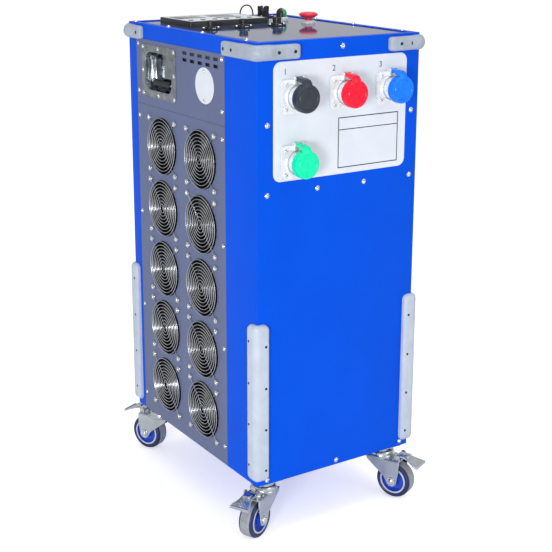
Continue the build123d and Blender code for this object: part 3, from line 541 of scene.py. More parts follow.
def make_floor(p):
    """Large pale floor that keeps the shadow."""
    mesh = bpy.data.meshes.new("studio_floor")
    corners = [(x * FLOOR_HALF, y * FLOOR_HALF, 0) for x, y in ((-1, -1), (1, -1), (1, 1), (-1, 1))]
    mesh.from_pydata(corners, [], [(0, 1, 2, 3)])
    floor = bpy.data.objects.new("studio_floor", mesh)
    mat = bpy.data.materials.new("pale_studio_floor")
    mat.use_nodes = True
    t = mat.node_tree
    t.nodes.clear()
    place = node(t, "ShaderNodeTexCoord")
    grain = node(t, "ShaderNodeTexNoise", {"Vector": place.outputs["Object"], "Scale": 3.0})
    tone = node(t, "ShaderNodeMapRange", {"Value": grain.outputs["Fac"], "To Min": 0.985, "To Max": 1.0})
    tones = {0: tone.outputs[0], 6: (0.9, 0.9, 0.9, 1), 7: tuple(p.floor_colour)}
    colour = node(t, "ShaderNodeMix", tones, data_type="RGBA")
    shader = node(t, "ShaderNodeBsdfPrincipled", {"Base Color": colour.outputs[2], "Roughness": 0.9})
    glow = node(t, "ShaderNodeEmission", {"Color": (1, 1, 1, 1), "Strength": FLOOR_GLOW})
    both = node(t, "ShaderNodeAddShader", {0: shader.outputs[0], 1: glow.outputs[0]})
    ray = node(t, "ShaderNodeLightPath")
    seen = {0: ray.outputs["Is Camera Ray"], 1: shader.outputs[0], 2: both.outputs[0]}
    pick = node(t, "ShaderNodeMixShader", seen)
    node(t, "ShaderNodeOutputMaterial", {"Surface": pick.outputs[0]})
    mesh.materials.append(mat)
    bpy.context.scene.collection.objects.link(floor)


def lamp(name, at, target, size, power):
    """One square white area lamp aimed at a point."""
    data = bpy.data.lights.new(name, "AREA")
    data.size = size
    data.energy = power
    obj = bpy.data.objects.new(name, data)
    obj.location = at
    obj.rotation_mode = "QUATERNION"
    obj.rotation_quaternion = (Vector(target) - Vector(at)).to_track_quat("-Z", "Y")
    bpy.context.scene.collection.objects.link(obj)


def make_light(p):
    """Even white world seen as white, and soft lamps that shape the faces."""
    world = bpy.data.worlds.new("studio_world")
    bpy.context.scene.world = world
    world.use_nodes = True
    t = world.node_tree
    t.nodes.clear()
    ray = node(t, "ShaderNodeLightPath")
    rays = {0: ray.outputs["Is Camera Ray"], 1: ray.outputs["Is Transmission Ray"]}
    either = node(t, "ShaderNodeMath", rays, operation="MAXIMUM")
    levels = {"Value": either.outputs[0], "To Min": p.world_level, "To Max": 1.0}
    level = node(t, "ShaderNodeMapRange", levels)
    sky = node(t, "ShaderNodeBackground", {"Color": (1, 1, 1, 1), "Strength": level.outputs[0]})
    node(t, "ShaderNodeOutputWorld", {"Surface": sky.outputs[0]})
    for name, at, aim, size, share in LAMPS:
        lamp(name, at, (0, 0, aim), size, p.key_power * share)


def make_camera():
    """Camera at the viewing angle: azimuth, elevation and a hair of roll."""
    az, el, roll = (math.radians(v) for v in CAMERA_TURN)
    back = Vector((math.sin(az) * math.cos(el), -math.cos(az) * math.cos(el), math.sin(el)))
    right = Vector((math.cos(az), math.sin(az), 0))
    up = back.cross(right)
    rolled_right = math.cos(roll) * right + math.sin(roll) * up
    rolled_up = -math.sin(roll) * right + math.cos(roll) * up
    data = bpy.data.cameras.new("camera")
    data.sensor_width = SENSOR
    data.lens = LENS
    data.shift_y = SHIFT_UP
    data.clip_end = FAR
    cam = bpy.data.objects.new("camera", data)
    basis = Matrix((rolled_right, rolled_up, back)).transposed().to_4x4()
    cam.matrix_world = Matrix.Translation(CAMERA_AT) @ basis
    bpy.context.scene.collection.objects.link(cam)
    bpy.context.scene.camera = cam
    bpy.context.scene.view_settings.view_transform = "Standard"


# ------------------------------------------------------------------ fans


class LOADBANK_OT_fans(LoadBankOperator, bpy.types.Operator):
    """Make the wire guards with their screws and the bladed rotors"""

    bl_idname = "loadbank.fans"
    bl_label = "Fans"

    def execute(self, context):
        p = self.settings()
        guards, screws = [], []
        pad = [(0, 0), (5.2, 0), (5.2, 3.2), (0, 3.2)]
        for _, y, z in FAN_AXES:
            guards += fan_guard(np.array([XL, y, z]), p.wire / 2, p.rings)
            for sy, sz in CORNERS:
                foot = np.array([XL, y, z]) + mm(0, sy * FAN_SCREW, sz * FAN_SCREW)
                screws.append(dome_screw(foot + mm(-3.2, 0, 0), FAN_OUT, 4.6, 3.4))
                screws.append(turned(pad, foot, FAN_OUT, 16))
        piece("guard_wires", guards, ["guard_wire"], "cabinet", ["fan_guards"])
        piece("guard_screws", screws, ["screw_steel"], "cabinet")
        for i, (_, y, z) in enumerate(FAN_AXES):
            name = "rotor_%02d" % (i + 1)
            low, high = lo_hi(name)
            shells = rotor_shells(y, z, low[0], high[0], p.blades, 0.35 * i)
            piece("bladed_" + name, shells, ["black_plastic"], name, [name])
        return {"FINISHED"}


def fan_guard(centre, wire, rings):
    """Concentric rings of round wire over two crossed wires whose ends loop round the screws."""
    a = np.linspace(0, 2 * math.pi, 44, endpoint=False)
    circle = np.stack([np.zeros_like(a), np.cos(a), np.sin(a)], -1)
    ring_centre = centre - np.array([1 * MM + 3 * wire, 0, 0])
    cross_centre = centre - np.array([1 * MM + wire, 0, 0])
    radii = np.linspace(9 * MM, 56 * MM, rings)
    shells = [tube(ring_centre + r * circle, wire * 0.85, 6, True) for r in radii]
    corner = FAN_SCREW * math.sqrt(2) * MM
    s = np.linspace(-1, 1, 12)[:, None]
    for d in (unit((0, 1, 1)), unit((0, 1, -1))):
        shells.append(tube(cross_centre + s * (corner - 5 * MM) * d, wire, 6))
        for end in (-1, 1):
            shells.append(tube(cross_centre + end * corner * d + 5 * MM * circle[::3], wire, 6, True))
    return shells


def rotor_shells(y, z, x0, x1, blades, turn):
    """Domed hub and raked blades: each blade is a thin lens section turned and swept out along its radius."""
    hub, tip, half = 21 * MM, 52 * MM, (x1 - x0) / 2
    shaft, sunk, rim = 4 * MM, 6 * MM, 3 * MM
    c = np.array([(x0 + x1) / 2, y, z])
    profile = [(0, -half), (hub * 0.8, -half), (hub, rim - half), (hub, half)]
    profile += [(shaft, half), (shaft, half - sunk), (0, half - sunk)]
    shells = [revolve(profile, c, (1, 0, 0), 28)]
    chord = np.linspace(-1, 1, 7)
    camber = (1 - chord**2) * 2.0
    thick = (1 - chord**2) * 1.1 + 0.25
    off = np.concatenate([camber + thick, (camber - thick)[::-1]]) * MM
    for i in range(blades):
        rows = []
        for r in np.linspace(hub - 1 * MM, tip, 7):
            f = (r - hub) / (tip - hub)
            rake = math.radians(42 - 12 * f)
            along = np.concatenate([chord, chord[::-1]]) * (13.5 + 4.5 * f) * MM
            dx = np.clip(along * math.sin(rake) + off * math.cos(rake), -half, half)
            sweep = along * math.cos(rake) - off * math.sin(rake) + f * 6 * MM
            a = turn + 2 * math.pi * i / blades + sweep / r
            rows.append(np.stack([c[0] + dx, c[1] + r * np.cos(a), c[2] + r * np.sin(a)], -1))
        shells.append(loft(rows))
    return shells


# ------------------------------------------------------------------ panels: screws, slots, disc, plate

# places of the dome screws in millimetres, heights over the base
FRONT_SCREWS = ((-158, 687), (-158, 561), (-49, 562), (56, 562), (164, 563), (164, 688), (3, 817))
FRONT_SCREWS += ((-158, 9), (3, 9), (161, 10))
FAN_FACE_SCREW_Z = (792, 697, 646, 444, 240, 38)
LOUVRE_SCREW_Y, LOUVRE_SCREW_Z = (-192, 228), (20, 220, 420, 620, 790)
BACK_SCREW_X, BACK_SCREW_Z = (-150, 0, 150), (20, 290, 560, 780)
TOP_SCREW_Y = (-200, -46, 86, 225)
SLOT_Y = (-104, -75, -46, -17, 12)


class LOADBANK_OT_screws(LoadBankOperator, bpy.types.Operator):
    """Set the dome screws of the panels, and a dark strip and dark tiles at the vent slots that paint the
    shade inside the cabinet
    """

    bl_idname = "loadbank.screws"
    bl_label = "Panel screws"

    def execute(self, context):
        r = self.settings().screw_radius / MM
        shells = [dome_screw((x * MM, YF, ZB + z * MM), FRONT_OUT, r, 0.7 * r) for x, z in FRONT_SCREWS]
        edge = 9 * MM
        for z in FAN_FACE_SCREW_Z:
            for y in (FAN_LO[1] + edge, FAN_HI[1] - edge):
                shells.append(dome_screw((XL, y, ZB + z * MM), FAN_OUT, 0.9 * r, 0.75 * r))
        for z in LOUVRE_SCREW_Z:
            for y in LOUVRE_SCREW_Y:
                shells.append(dome_screw((XR, y * MM, ZB + z * MM), (1, 0, 0), 0.9 * r, 0.6 * r))
        for x in BACK_SCREW_X:
            for z in BACK_SCREW_Z:
                shells.append(dome_screw((x * MM, YB, ZB + z * MM), (0, 1, 0), 0.9 * r, 0.6 * r))
        rim = 7 * MM
        for y in TOP_SCREW_Y:
            for x in (XL + rim, XR - rim):
                shells.append(dome_screw((x, y * MM, ZT), UP, 0.85 * r, 0.7 * r))
        piece("panel_screws", shells, ["screw_steel"], "cabinet")
        # dark strip behind the vent slots and dark tiles in the slots: painted shade of the cabinet inside
        strip_at = side_place(SLOT_Y[2] * MM, ZB + 783 * MM, XL + 6.5 * MM)
        tiles = [slab(rounded(150, 34, 2, 3), [(0, 0), (3, 0)], strip_at)]
        for y in SLOT_Y:
            at = side_place(y * MM, ZB + 790 * MM, XL + 1.3 * MM)
            tiles.append(slab(rounded(16.6, 6.1, 0.5, 2), [(0, 0), (0.4, 0)], at))
        piece("foam_seal_strip", tiles, ["cord_black"], "cabinet")
        return {"FINISHED"}


class LOADBANK_OT_marking(LoadBankOperator, bpy.types.Operator):
    """Make the marking plate with its ruled box and numerals, and the bare disc"""

    bl_idname = "loadbank.marking"
    bl_label = "Marking plate"

    def execute(self, context):
        left, right = -146 * MM, LABEL_HI[0]
        proud = (YF - LABEL_LO[1]) / MM
        outline = rounded((right - left) / MM, (LABEL_HI[2] - LABEL_LO[2]) / MM, 15, 8)
        place = front_place((left + right) / 2, (LABEL_LO[2] + LABEL_HI[2]) / 2, YF)
        shells = [slab(outline, [(0, 0), (proud * 0.6, 0), (proud, 0.5)], place)]
        box_x, ink = 63 * MM, 0.12
        place = front_place(box_x, ZB + 641 * MM, LABEL_LO[1])
        shells.append(stroke(rounded(138, 94, 0.8, 2), 1.8, ink, place, 1))
        place = front_place(box_x, ZB + 665 * MM, LABEL_LO[1])
        shells.append(slab(rounded(135, 1.6, 0.3, 2), [(0, 0), (ink, 0)], place, 1))
        centre = np.array([XL, -64 * MM, ZB + 737 * MM])
        shells.append(turned([(0, 0), (34, 0), (34, 0.8), (33.4, 1.2), (0, 1.2)], centre, FAN_OUT, 56))
        for dz in (-27, 27):
            shells.append(dome_screw(centre + mm(-1.2, 0, dz), FAN_OUT, 3.4, 2.0, 2))
        finishes = ["white_plate", "print_black", "screw_steel"]
        piece("marking_plate", shells, finishes, "cabinet", ["label_plates"])
        numerals()
        return {"FINISHED"}


def numerals():
    """Plain numbers over the three phase inlets, left of each hinge."""
    for i, name in enumerate(list(CAPS)[:3]):
        x, _, z = JOINTS["cap_%s_hinge" % name]["pos_m"]
        curve = bpy.data.curves.new("numeral", "FONT")
        curve.body = str(i + 1)
        curve.size = 15 * MM
        curve.extrude = 0.06 * MM
        curve.align_x = "CENTER"
        outline = bpy.data.objects.new("numeral_outline", curve)
        bpy.context.scene.collection.objects.link(outline)
        bpy.context.view_layer.update()
        mesh = bpy.data.meshes.new_from_object(outline)
        bpy.data.objects.remove(outline)
        foot = Vector((x - 20 * MM, LABEL_LO[1] - curve.extrude, z + 7 * MM))
        mesh.transform(Matrix.Translation(foot) @ Matrix.Rotation(math.pi / 2, 4, "X"))
        mesh.materials.clear()
        mesh.materials.append(MATERIALS["print_black"])
        obj = bpy.data.objects.new("numeral_%d" % (i + 1), mesh)
        bpy.context.scene.collection.objects.link(obj)
        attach(obj, "cabinet")


# ------------------------------------------------------------------ bumpers and guards


class LOADBANK_OT_bumpers(LoadBankOperator, bpy.types.Operator):
    """Make the rounded top bumpers and lower corner guards with their sunk screws"""

    bl_idname = "loadbank.bumpers"
    bl_label = "Bumpers"

    def execute(self, context):
        bumpers, guards = [], []
        for sx, sy in CORNERS:
            bumpers += bumper_shells(sx, sy)
            guards += guard_shells(sx, sy)
        # second finish: painted shade in the sunk screw recesses
        finishes = ["grey_bumper", "hole_dark"]
        piece("soft_bumpers", bumpers, finishes, "cabinet", ["corner_bumpers"], 50)
        finishes = ["guard_moulding", "hole_dark"]
        piece("soft_corner_guards", guards, finishes, "cabinet", ["corner_guards"], 50)
        return {"FINISHED"}


def bumper_section(s, length, swell):
    """Depth and height of the pad section at distance s from the corner, in millimetres.

    The depth is (10 + 6 w) times an end factor, with w a smooth step at the swell. The end factor follows a
    quarter ellipse. The section runs from a squarish pad (small exponent) to a round one.
    """
    q = np.linspace(-math.pi / 2, math.pi / 2, 15)
    w = np.clip((swell + 9 - s) / 18, 0, 1)
    w = w * w * (3 - 2 * w)
    end = math.sqrt(max(0.0, 1 - max(0.0, (s - (length - 8)) / 8) ** 2))
    depth = (10 + 6 * w) * (0.25 + 0.75 * end)
    high = (13 + w) * (0.62 + 0.38 * end)
    power = 0.3 + 0.65 * w
    return depth * np.cos(q) ** power, high * np.sign(np.sin(q)) * np.abs(np.sin(q)) ** (power + 0.15)


def bumper_shells(sx, sy):
    """Pad led along one wall, round the corner and back along the other, with two screws on each leg."""
    front, front_swell, front_screws = (88, 28, (40, 74)) if sx < 0 else (74, 16, (24, 50))
    side, side_swell = 74, 26
    if sx < 0:
        side, side_swell = (109, 44) if sy < 0 else (63, 26)
    tip = 8 * (1 - np.cos(np.linspace(0, math.pi / 2, 6)))
    rows = []
    for s in np.concatenate([front - tip, np.linspace(front - 12, 14, 14)]):
        depth, high = bumper_section(s, front, front_swell)
        rows.append(np.stack([np.full_like(depth, -s), depth, high], -1))
    depth, high = bumper_section(0, front, front_swell)
    for a in np.linspace(0, math.pi / 2, 12)[1:-1]:
        outer = 30 * np.array([math.sin(a), math.cos(a)]) - 14
        inner = np.minimum(outer, 0)
        flat = inner + (depth / 16)[:, None] * (outer - inner)
        rows.append(np.column_stack([flat, high]))
    for s in np.concatenate([np.linspace(14, side - 12, 14), (side - tip)[::-1]]):
        depth, high = bumper_section(s, side, side_swell)
        rows.append(np.stack([depth, np.full_like(depth, -s), high], -1))
    corner = np.array([sx * WIDTH_HALF, sy * DEPTH_HALF, ZB + 814 * MM])
    shells = [shaded(loft(corner + np.array(rows) * (sx, sy, 1) * MM), 0)]
    for d in front_screws:
        shells.append(sunk_screw(corner + mm(-sx * d, sy * 10, 0), (0, sy, 0), 3.2))
    for d in (side - 13, side - 40):
        shells.append(sunk_screw(corner + mm(sx * 10, -sy * d, 0), (sx, 0, 0), 3.2))
    return shells


def sunk_screw(at, axis, r):
    """Dark ring and dished face over a socket screw of radius r in millimetres, sunk in the moulding; the
    dark colour paints the shade of the recess.
    """
    return turned([(0, -2), (r, -2), (r, 0.2), (0.8 * r, 0.3), (0.7 * r, 0.12), (0, 0.1)], at, axis, 18, 1)


def guard_shells(sx, sy):
    """Rounded corner section lofted up the edge; both ends close as quarter circles."""
    leg, out, foot, head, dome = 23, 10, 12, 322, 11
    half = [[[-leg, 0]], arc(7 - leg, out - 7, 7, 170, 95, 6), arc(-3, -3, out + 3, 88, 45, 8)]
    half = np.concatenate(half)
    outline = np.concatenate([half, half[::-1][1:, ::-1], [[-1, -1]]])
    t = np.linspace(0, math.pi / 2, 8)
    levels = [(foot + dome * (1 - math.sin(a)), math.cos(a)) for a in t[::-1]]
    levels += [(head - dome * (1 - math.sin(a)), math.cos(a)) for a in t]
    rows = []
    for z, k in levels:
        o = np.where(outline > 0, outline * (0.1 + 0.9 * k), outline * (0.5 + 0.5 * k))
        rows.append(np.column_stack([o, np.full(len(o), z)]))
    corner = np.array([sx * WIDTH_HALF, sy * DEPTH_HALF, ZB])
    shells = [shaded(loft(corner + np.array(rows) * (sx, sy, 1) * MM), 0)]
    for z in (35, 117, 199, 281):
        shells.append(sunk_screw(corner + mm(-sx * 13.5, sy * (out - 0.1), z), (0, sy, 0), 2.6))
        shells.append(sunk_screw(corner + mm(sx * (out - 0.1), -sy * 13.5, z + 9), (sx, 0, 0), 2.6))
    return shells


# ------------------------------------------------------------------ power inlets

# depth of the flange, length of the barrel and gap to the cap, in millimetres
FLANGE_DEEP, BARREL_LONG, CAP_GAP = 8, 26, 0.3


class LOADBANK_OT_inlets(LoadBankOperator, bpy.types.Operator):
    """Make the four inlet flanges, housings and coloured snap caps"""

    bl_idname = "loadbank.inlets"
    bl_label = "Inlets"

    def execute(self, context):
        flanges, housings = [], []
        for name, finish in CAPS.items():
            hinge = np.array(JOINTS["cap_%s_hinge" % name]["pos_m"])
            x, z = hinge[0], hinge[2] - 32 * MM
            flanges += flange_shells(x, z, hinge)
            housings += housing_shells(x, z)
            node_name = "cap_" + name
            piece("snap_" + node_name, cap_shells(x, z, hinge), [finish], node_name, [node_name])
        finishes = ["flange_metal", "screw_steel"]
        piece("cast_flanges", flanges, finishes, "cabinet", ["inlet_flanges"])
        finishes = ["flange_metal", "black_plastic"]
        piece("contact_housings", housings, finishes, "cabinet", ["inlet_sockets"])
        return {"FINISHED"}


def flange_shells(x, z, hinge):
    """Square flange with rounded rim, raised collar, four screws and the two hinge ears with their pin."""
    foot = np.array([x, LABEL_LO[1], z])
    shells = [slab(rounded(61, 61, 7, 6), eased(0, FLANGE_DEEP, 1.2), front_place(x, z, LABEL_LO[1]))]
    collar = [(22.4, 7), (24.5, 7), (24.5, 12), (23.8, 13), (22.4, 13), (22.4, 7)]
    shells.append(turned(collar, foot, FRONT_OUT, 40))
    for dx, dz in CORNERS:
        at = foot + mm(22 * dx, -FLANGE_DEEP, 22 * dz)
        shells.append(dome_screw(at, FRONT_OUT, 3.8, 2.4, 1, 16))
    ear = np.concatenate([[[-5, -9], [9, -9]], arc(0, 0, 4.2, 20, 200, 8)])
    for s in (-1, 1):
        place = (hinge + mm(s * 9, 0, 0), (0, 1, 0), UP, (1, 0, 0))
        shells.append(slab(ear, [(-1.5, 0), (1.5, 0)], place))
    shells.append(turned([(0, 0), (1.6, 0), (1.6, 22), (0, 22)], hinge - mm(11, 0, 0), (1, 0, 0), 12, 1))
    return shells


def housing_shells(x, z):
    """Bright stepped barrel round a dark insert with the blind bore."""
    r, lip, b, length = 21.3, 18.5, 12, BARREL_LONG
    foot = (x, LABEL_LO[1] - FLANGE_DEEP * MM, z)
    barrel = [(0, 0), (r, 0), (r, length - 1), (r - 1, length), (lip, length), (lip, length - 1)]
    insert = [(lip, length - 1), (b + 1, length - 1), (b, length - 2), (b, 1.5), (0, 1.5)]
    return [turned(profile, foot, FRONT_OUT, 44, k) for k, profile in enumerate((barrel, insert))]


def cap_shells(x, z, hinge):
    """Snap cap: stepped dome with a ribbed rim, carried on a curved strap back to the hinge knuckle."""
    centre = np.array([x, LABEL_LO[1] - (FLANGE_DEEP + BARREL_LONG + CAP_GAP) * MM, z])
    profile = [(0, 0), (24.1, 0), (24.1, -4.3), (25.4, -4.3), (25.5, 0.2), (24.3, 0.7), (24.3, 1.9)]
    profile += [(25.5, 2.4), (25.5, 6.8), (25.0, 8.3), (23.6, 9.2), (20.0, 9.4), (19.4, 8.8), (18.4, 8.8)]
    profile += [(17.6, 9.6), (0, 9.8)]
    shells = [turned(profile, centre, FRONT_OUT, 64)]
    for a in np.linspace(0, 2 * math.pi, 30, endpoint=False):
        if math.sin(a) > 0.9:
            continue
        at = centre + mm(25.1 * math.cos(a), 3.6, 25.1 * math.sin(a))
        shells.append(tube([at, at - mm(0, 3.6, 0)], 0.55 * MM, 6))
    knuckle = [(0, 0), (3.3, 0), (4, 0.7), (4, 13.3), (3.3, 14), (0, 14)]
    shells.append(turned(knuckle, hinge - mm(7, 0, 0), (1, 0, 0), 20))
    # strap in the plane square to the pin: centreline from knuckle to cap, half widths, half thicknesses
    line = np.array([[-1.0, 0.6], [-9, -0.4], [-18, -1.6], [-24, -3.4], [-27.5, -7.0], [-29.0, -12.0]])
    widths = (6.8, 6.9, 7.2, 7.8, 8.4, 8.8)
    depths = (2.9, 3.4, 4.2, 4.2, 3.0, 2.0)
    tangent = np.gradient(line, axis=0)
    tangent /= np.linalg.norm(tangent, axis=1)[:, None]
    rows = []
    for middle, (ty, tz), w, d in zip(line, tangent, widths, depths):
        o = rounded(2 * w, 2 * d, 1.2, 3)
        rows.append(np.column_stack([o[:, 0], middle + o[:, 1:] * (-tz, ty)]))
    shells.append(loft(hinge + np.array(rows) * MM))
    return shells


# ------------------------------------------------------------------ recessed handle

# pressed dish in millimetres: width, height and corner radius of each outline, and its depth behind the face
DISH_LEVELS = (
    (105, 71, 16, 22.6), (111, 77, 18, 18), (111, 77, 18, 0), (142, 104, 9, 0), (142, 104, 9, -1),
    (140.6, 102.6, 8.5, -1.5), (122, 88, 22, -1.5), (118, 84, 22, -2.6), (113, 79, 21, -2.6),
    (109, 75, 20, -0.8), (106, 72, 19, 5), (104, 70, 18, 17), (99, 65, 16, 20.6), (90, 56, 14, 21.2),
)


class LOADBANK_OT_handle(LoadBankOperator, bpy.types.Operator):
    """Make the pressed dish, its rivets, the bail and the ribbed grip"""

    bl_idname = "loadbank.handle"
    bl_label = "Handle"

    def execute(self, context):
        hinge = np.array(JOINTS["handle_swing"]["pos_m"])
        centre = np.array([XL, hinge[1], hinge[2] - 25 * MM])
        rows = []
        for w, h, r, depth in DISH_LEVELS:
            o = rounded(w, h, r, 6)
            rows.append(np.column_stack([np.full(len(o), depth), o]))
        shells = [shaded(loft(centre + np.array(rows) * MM), 0)]
        for dy in (-64, 0, 64):
            for dz in (-46, 0, 46):
                if dy or dz:
                    shells.append(dome_screw(centre + mm(-1.5, dy, dz), FAN_OUT, 4.4, 2.4, 1, 16))
        for s in (-1, 1):
            place = ((XL + 11 * MM, hinge[1] + s * 50 * MM, hinge[2]), (1, 0, 0), UP, (0, s, 0))
            shells.append(slab(rounded(17, 12, 4, 4), [(-1, 0.6), (0, 0), (4, 0)], place))
        finishes = ["dish_chrome", "screw_steel"]
        piece("pressed_dish", shells, finishes, "cabinet", ["handle_dish"])
        bail_and_grip(hinge)
        return {"FINISHED"}


def bail_and_grip(hinge):
    """Round rod bent to a U between its pivot pins, and a ribbed sleeve on its lower bar."""
    half, drop, bend = 43, 48, 8
    leg = np.concatenate([[[half, 1.5], [half, -12]], arc(half - bend, bend - drop, bend, 0, -90, 7)])
    line = np.concatenate([leg, [[0, -drop]], leg[::-1] * (-1, 1)])
    path = hinge + np.column_stack([np.zeros(len(line)), line]) * MM
    shells = [tube(path, 3.5 * MM, 14)]
    pin = [(0, 0), (4.4, 0), (5, 1), (5, 7), (4.4, 8), (2.4, 8), (2.4, 12.5), (0, 12.5)]
    for s in (-1, 1):
        shells.append(turned(pin, hinge + mm(0, s * (half - 4), 0), (0, s, 0), 24))
    piece("chrome_bail", shells, ["chrome"], "bail", ["handle_bail"])
    ribs, length = 15, 66
    s = np.linspace(0, length, 6 * ribs)
    end = np.clip(np.minimum(s, length - s) / 3, 0, 1)
    groove = 0.35 * (0.5 + 0.5 * np.cos(2 * math.pi * ribs * s / length)) * (end >= 1)
    radius = 6.6 * (0.78 + 0.22 * np.sqrt(end)) - groove
    sleeve = turned([(0, 0), *zip(radius, s), (0, length)], hinge - mm(0, length / 2, drop), (0, 1, 0), 32)
    piece("ribbed_grip", [sleeve], ["black_plastic"], "bail", ["handle_grip"])


# ------------------------------------------------------------------ top controls


class LOADBANK_OT_controls(LoadBankOperator, bpy.types.Operator):
    """Make the control box, small sockets, lamp, stop button, capped control inlet and lanyard"""

    bl_idname = "loadbank.controls"
    bl_label = "Top controls"

    def execute(self, context):
        control_box()
        aux_sockets()
        lamp_and_bezels()
        stop_button()
        control_inlet()
        castellated_cap()
        lanyard()
        return {"FINISHED"}


# small sockets: inset of the outer two from the ends of their row, place of the middle one, and their row
SOCKET_INSET, SOCKET_MIDDLE_X, SOCKET_Y = 20, -46, 15.3


def control_box():
    """Black bezel box with a pale face, three dark windows and a row of round keys."""
    low, high = lo_hi("control_box")
    middle = (low + high) / 2
    w, d, h = (high - low) / MM
    face = np.array([middle[0], middle[1], high[2]])
    rim = [(0, 0), (h - 1.2, 0), (h - 0.3, 0.4), (h, 1.4), (h, 3.6), (h - 0.8, 4)]
    shells = [slab(rounded(w, d, 5, 5), rim, top_place(middle[0], middle[1], low[2]))]
    place = top_place(*(face - mm(0, 0, 0.8)))
    shells.append(slab(rounded(w - 9, d - 9, 3, 4), [(0, 0), (0.5, 0), (0.7, 0.3)], place, 1))
    for dx, dy, wide, deep in ((-48, 22, 62, 44), (30, 30, 58, 26), (30, -4, 58, 18)):
        place = top_place(*(face + mm(dx, dy, -0.1)))
        shells.append(slab(rounded(wide, deep, 2.5, 4), [(0, 0), (0.25, 0), (0.35, 0.3)], place, 2))
    key = [(0, 0), (5.5, 0), (5.5, 0.5), (4.6, 0.9), (0, 0.9)]
    for dx in range(-74, 75, 27):
        shells.append(turned(key, face + mm(dx, -38, -0.1), UP, 24))
    finishes = ["black_plastic", "white_plate", "black_gloss"]
    piece("control_panel", shells, finishes, "cabinet", ["control_box"])


def aux_sockets():
    """Winged square bases with round posts and two pairs of bright screws each."""
    low, high = lo_hi("aux_sockets")
    post = [(0, 2), (12, 2), (12, 5.4), (11.4, 6), (9.2, 6.2), (8.2, 7), (8.2, 11.2), (9, 11.6), (9, 15.8)]
    post += [(8.3, 16.8), (6.4, 17), (6.2, 15.2), (0, 15)]
    shells = []
    for x in (low[0] + SOCKET_INSET * MM, SOCKET_MIDDLE_X * MM, high[0] - SOCKET_INSET * MM):
        foot = np.array([x, SOCKET_Y * MM, PLATE_TOP])
        place = top_place(*foot)
        shells.append(slab(rounded(27, 27, 5, 5), eased(0, 2.5, 0.6), place))
        shells.append(slab(rounded(40, 11, 5, 6), eased(0, 3.4, 0.7), place))
        shells.append(turned(post, foot, UP, 36))
        for s in (-1, 1):
            shells.append(dome_screw(foot + mm(s * 16, 0, 3.4), UP, 3.2, 2.2, 1, 16))
            shells.append(dome_screw(foot + mm(s * 2, -11, 2.5), UP, 2.2, 1.4, 1, 12))
    finishes = ["black_plastic", "screw_steel"]
    piece("small_sockets", shells, finishes, "cabinet", ["aux_sockets"])


def lamp_and_bezels():
    """White bezels of lamp and stop button, and the green lens under its hood.

    The hood is a shell of revolution over the back left part of the lens, from the rim up to the crown.
    """
    low, high = lo_hi("lamp_lens")
    lamp_at = (low + high) / 2
    stop_at = sum(lo_hi("estop_head")) / 2
    bezel = [(0, 0), (13.6, 0), (13.6, 5.5), (13.0, 7.2), (11.8, 8), (0, 8)]
    ring = [(0, 0), (14.1, 0), (14.1, 4.4), (13.4, 5.6), (12.4, 6), (8.2, 6), (8.2, 2), (0, 2)]
    bezels = [
        turned(bezel, (lamp_at[0], lamp_at[1], PLATE_TOP), UP, 40),
        turned(ring, (stop_at[0], stop_at[1], PLATE_TOP), UP, 40),
    ]
    piece("white_bezels", bezels, ["white_plastic"], "cabinet", ["pilot_bezels"])
    foot = (lamp_at[0], lamp_at[1], low[2])
    t = np.linspace(0, math.pi / 2, 9)[1:]
    lens = [(0, 0), (10.4, 0), (10.4, 7)] + [(10.4 * math.cos(a), 7 + 10.6 * math.sin(a)) for a in t]
    outer = [(11.5, 0.5), (11.5, 8)] + [(11.5 * math.cos(a), 8 + 10.4 * math.sin(a)) for a in t]
    inner = [(10.5 * math.cos(a), 8 + 9.6 * math.sin(a)) for a in t[::-1]] + [(10.5, 8), (10.5, 0.5)]
    profile = np.array(outer + inner) * MM
    sides = 28
    points, quads, _ = revolve(profile, foot, UP, sides, math.radians(138), math.radians(200))
    j = np.arange(sides)
    last = (len(profile) - 1) * (sides + 1)
    seam = np.stack([last + j, last + j + 1, j + 1, j], -1)
    starts = np.arange(len(profile)) * (sides + 1)
    hood = (points, np.concatenate([quads, seam]), [starts.tolist(), (starts + sides)[::-1].tolist()], 1)
    finishes = ["green_lens", "black_plastic"]
    shells = [turned(lens, foot, UP, 40), hood]
    piece("lamp_lens_and_hood", shells, finishes, "cabinet", ["lamp_lens"])


def stop_button():
    """Red mushroom on a stem that ends high enough to stay off the bezel floor when pressed in."""
    low, high = lo_hi("estop_head")
    x, y, _ = (low + high) / 2
    r, top = 19.4, high[2] / MM
    foot = (PLATE_TOP + abs(JOINTS["estop_press"]["range_m"][0])) / MM + 2.3
    head = [(0, foot), (7.5, foot), (7.5, top - 14), (11.5, top - 13.8), (r * 0.74, top - 11.6)]
    head += [(r * 0.93, top - 9.6), (r, top - 8.2), (r * 0.98, top - 6.4), (r * 0.9, top - 4.6)]
    head += [(r * 0.74, top - 3.2), (r * 0.5, top - 2.4), (0, top - 2)]
    shells = [turned(head, (x, y, 0), UP, 56)]
    piece("stop_mushroom", shells, ["red_plastic"], "estop", ["estop_head"])


def control_inlet():
    """Square base with four screws and the threaded neck."""
    low, high = lo_hi("control_inlet")
    x, y, _ = (low + high) / 2
    foot = np.array([x, y, PLATE_TOP])
    neck = [(0, 2), (12.6, 2), (12.6, 5.4), (12, 6), (9, 6), (9, 14), (0, 14)]
    shells = [slab(rounded(36, 36, 4, 5), eased(0, 3, 0.7), top_place(*foot)), turned(neck, foot, UP, 36)]
    for dx, dy in CORNERS:
        shells.append(dome_screw(foot + mm(13.5 * dx, 13.5 * dy, 3), UP, 2.4, 1.5, 1, 12))
    finishes = ["black_plastic", "screw_steel"]
    piece("control_base", shells, finishes, "cabinet", ["control_inlet"])


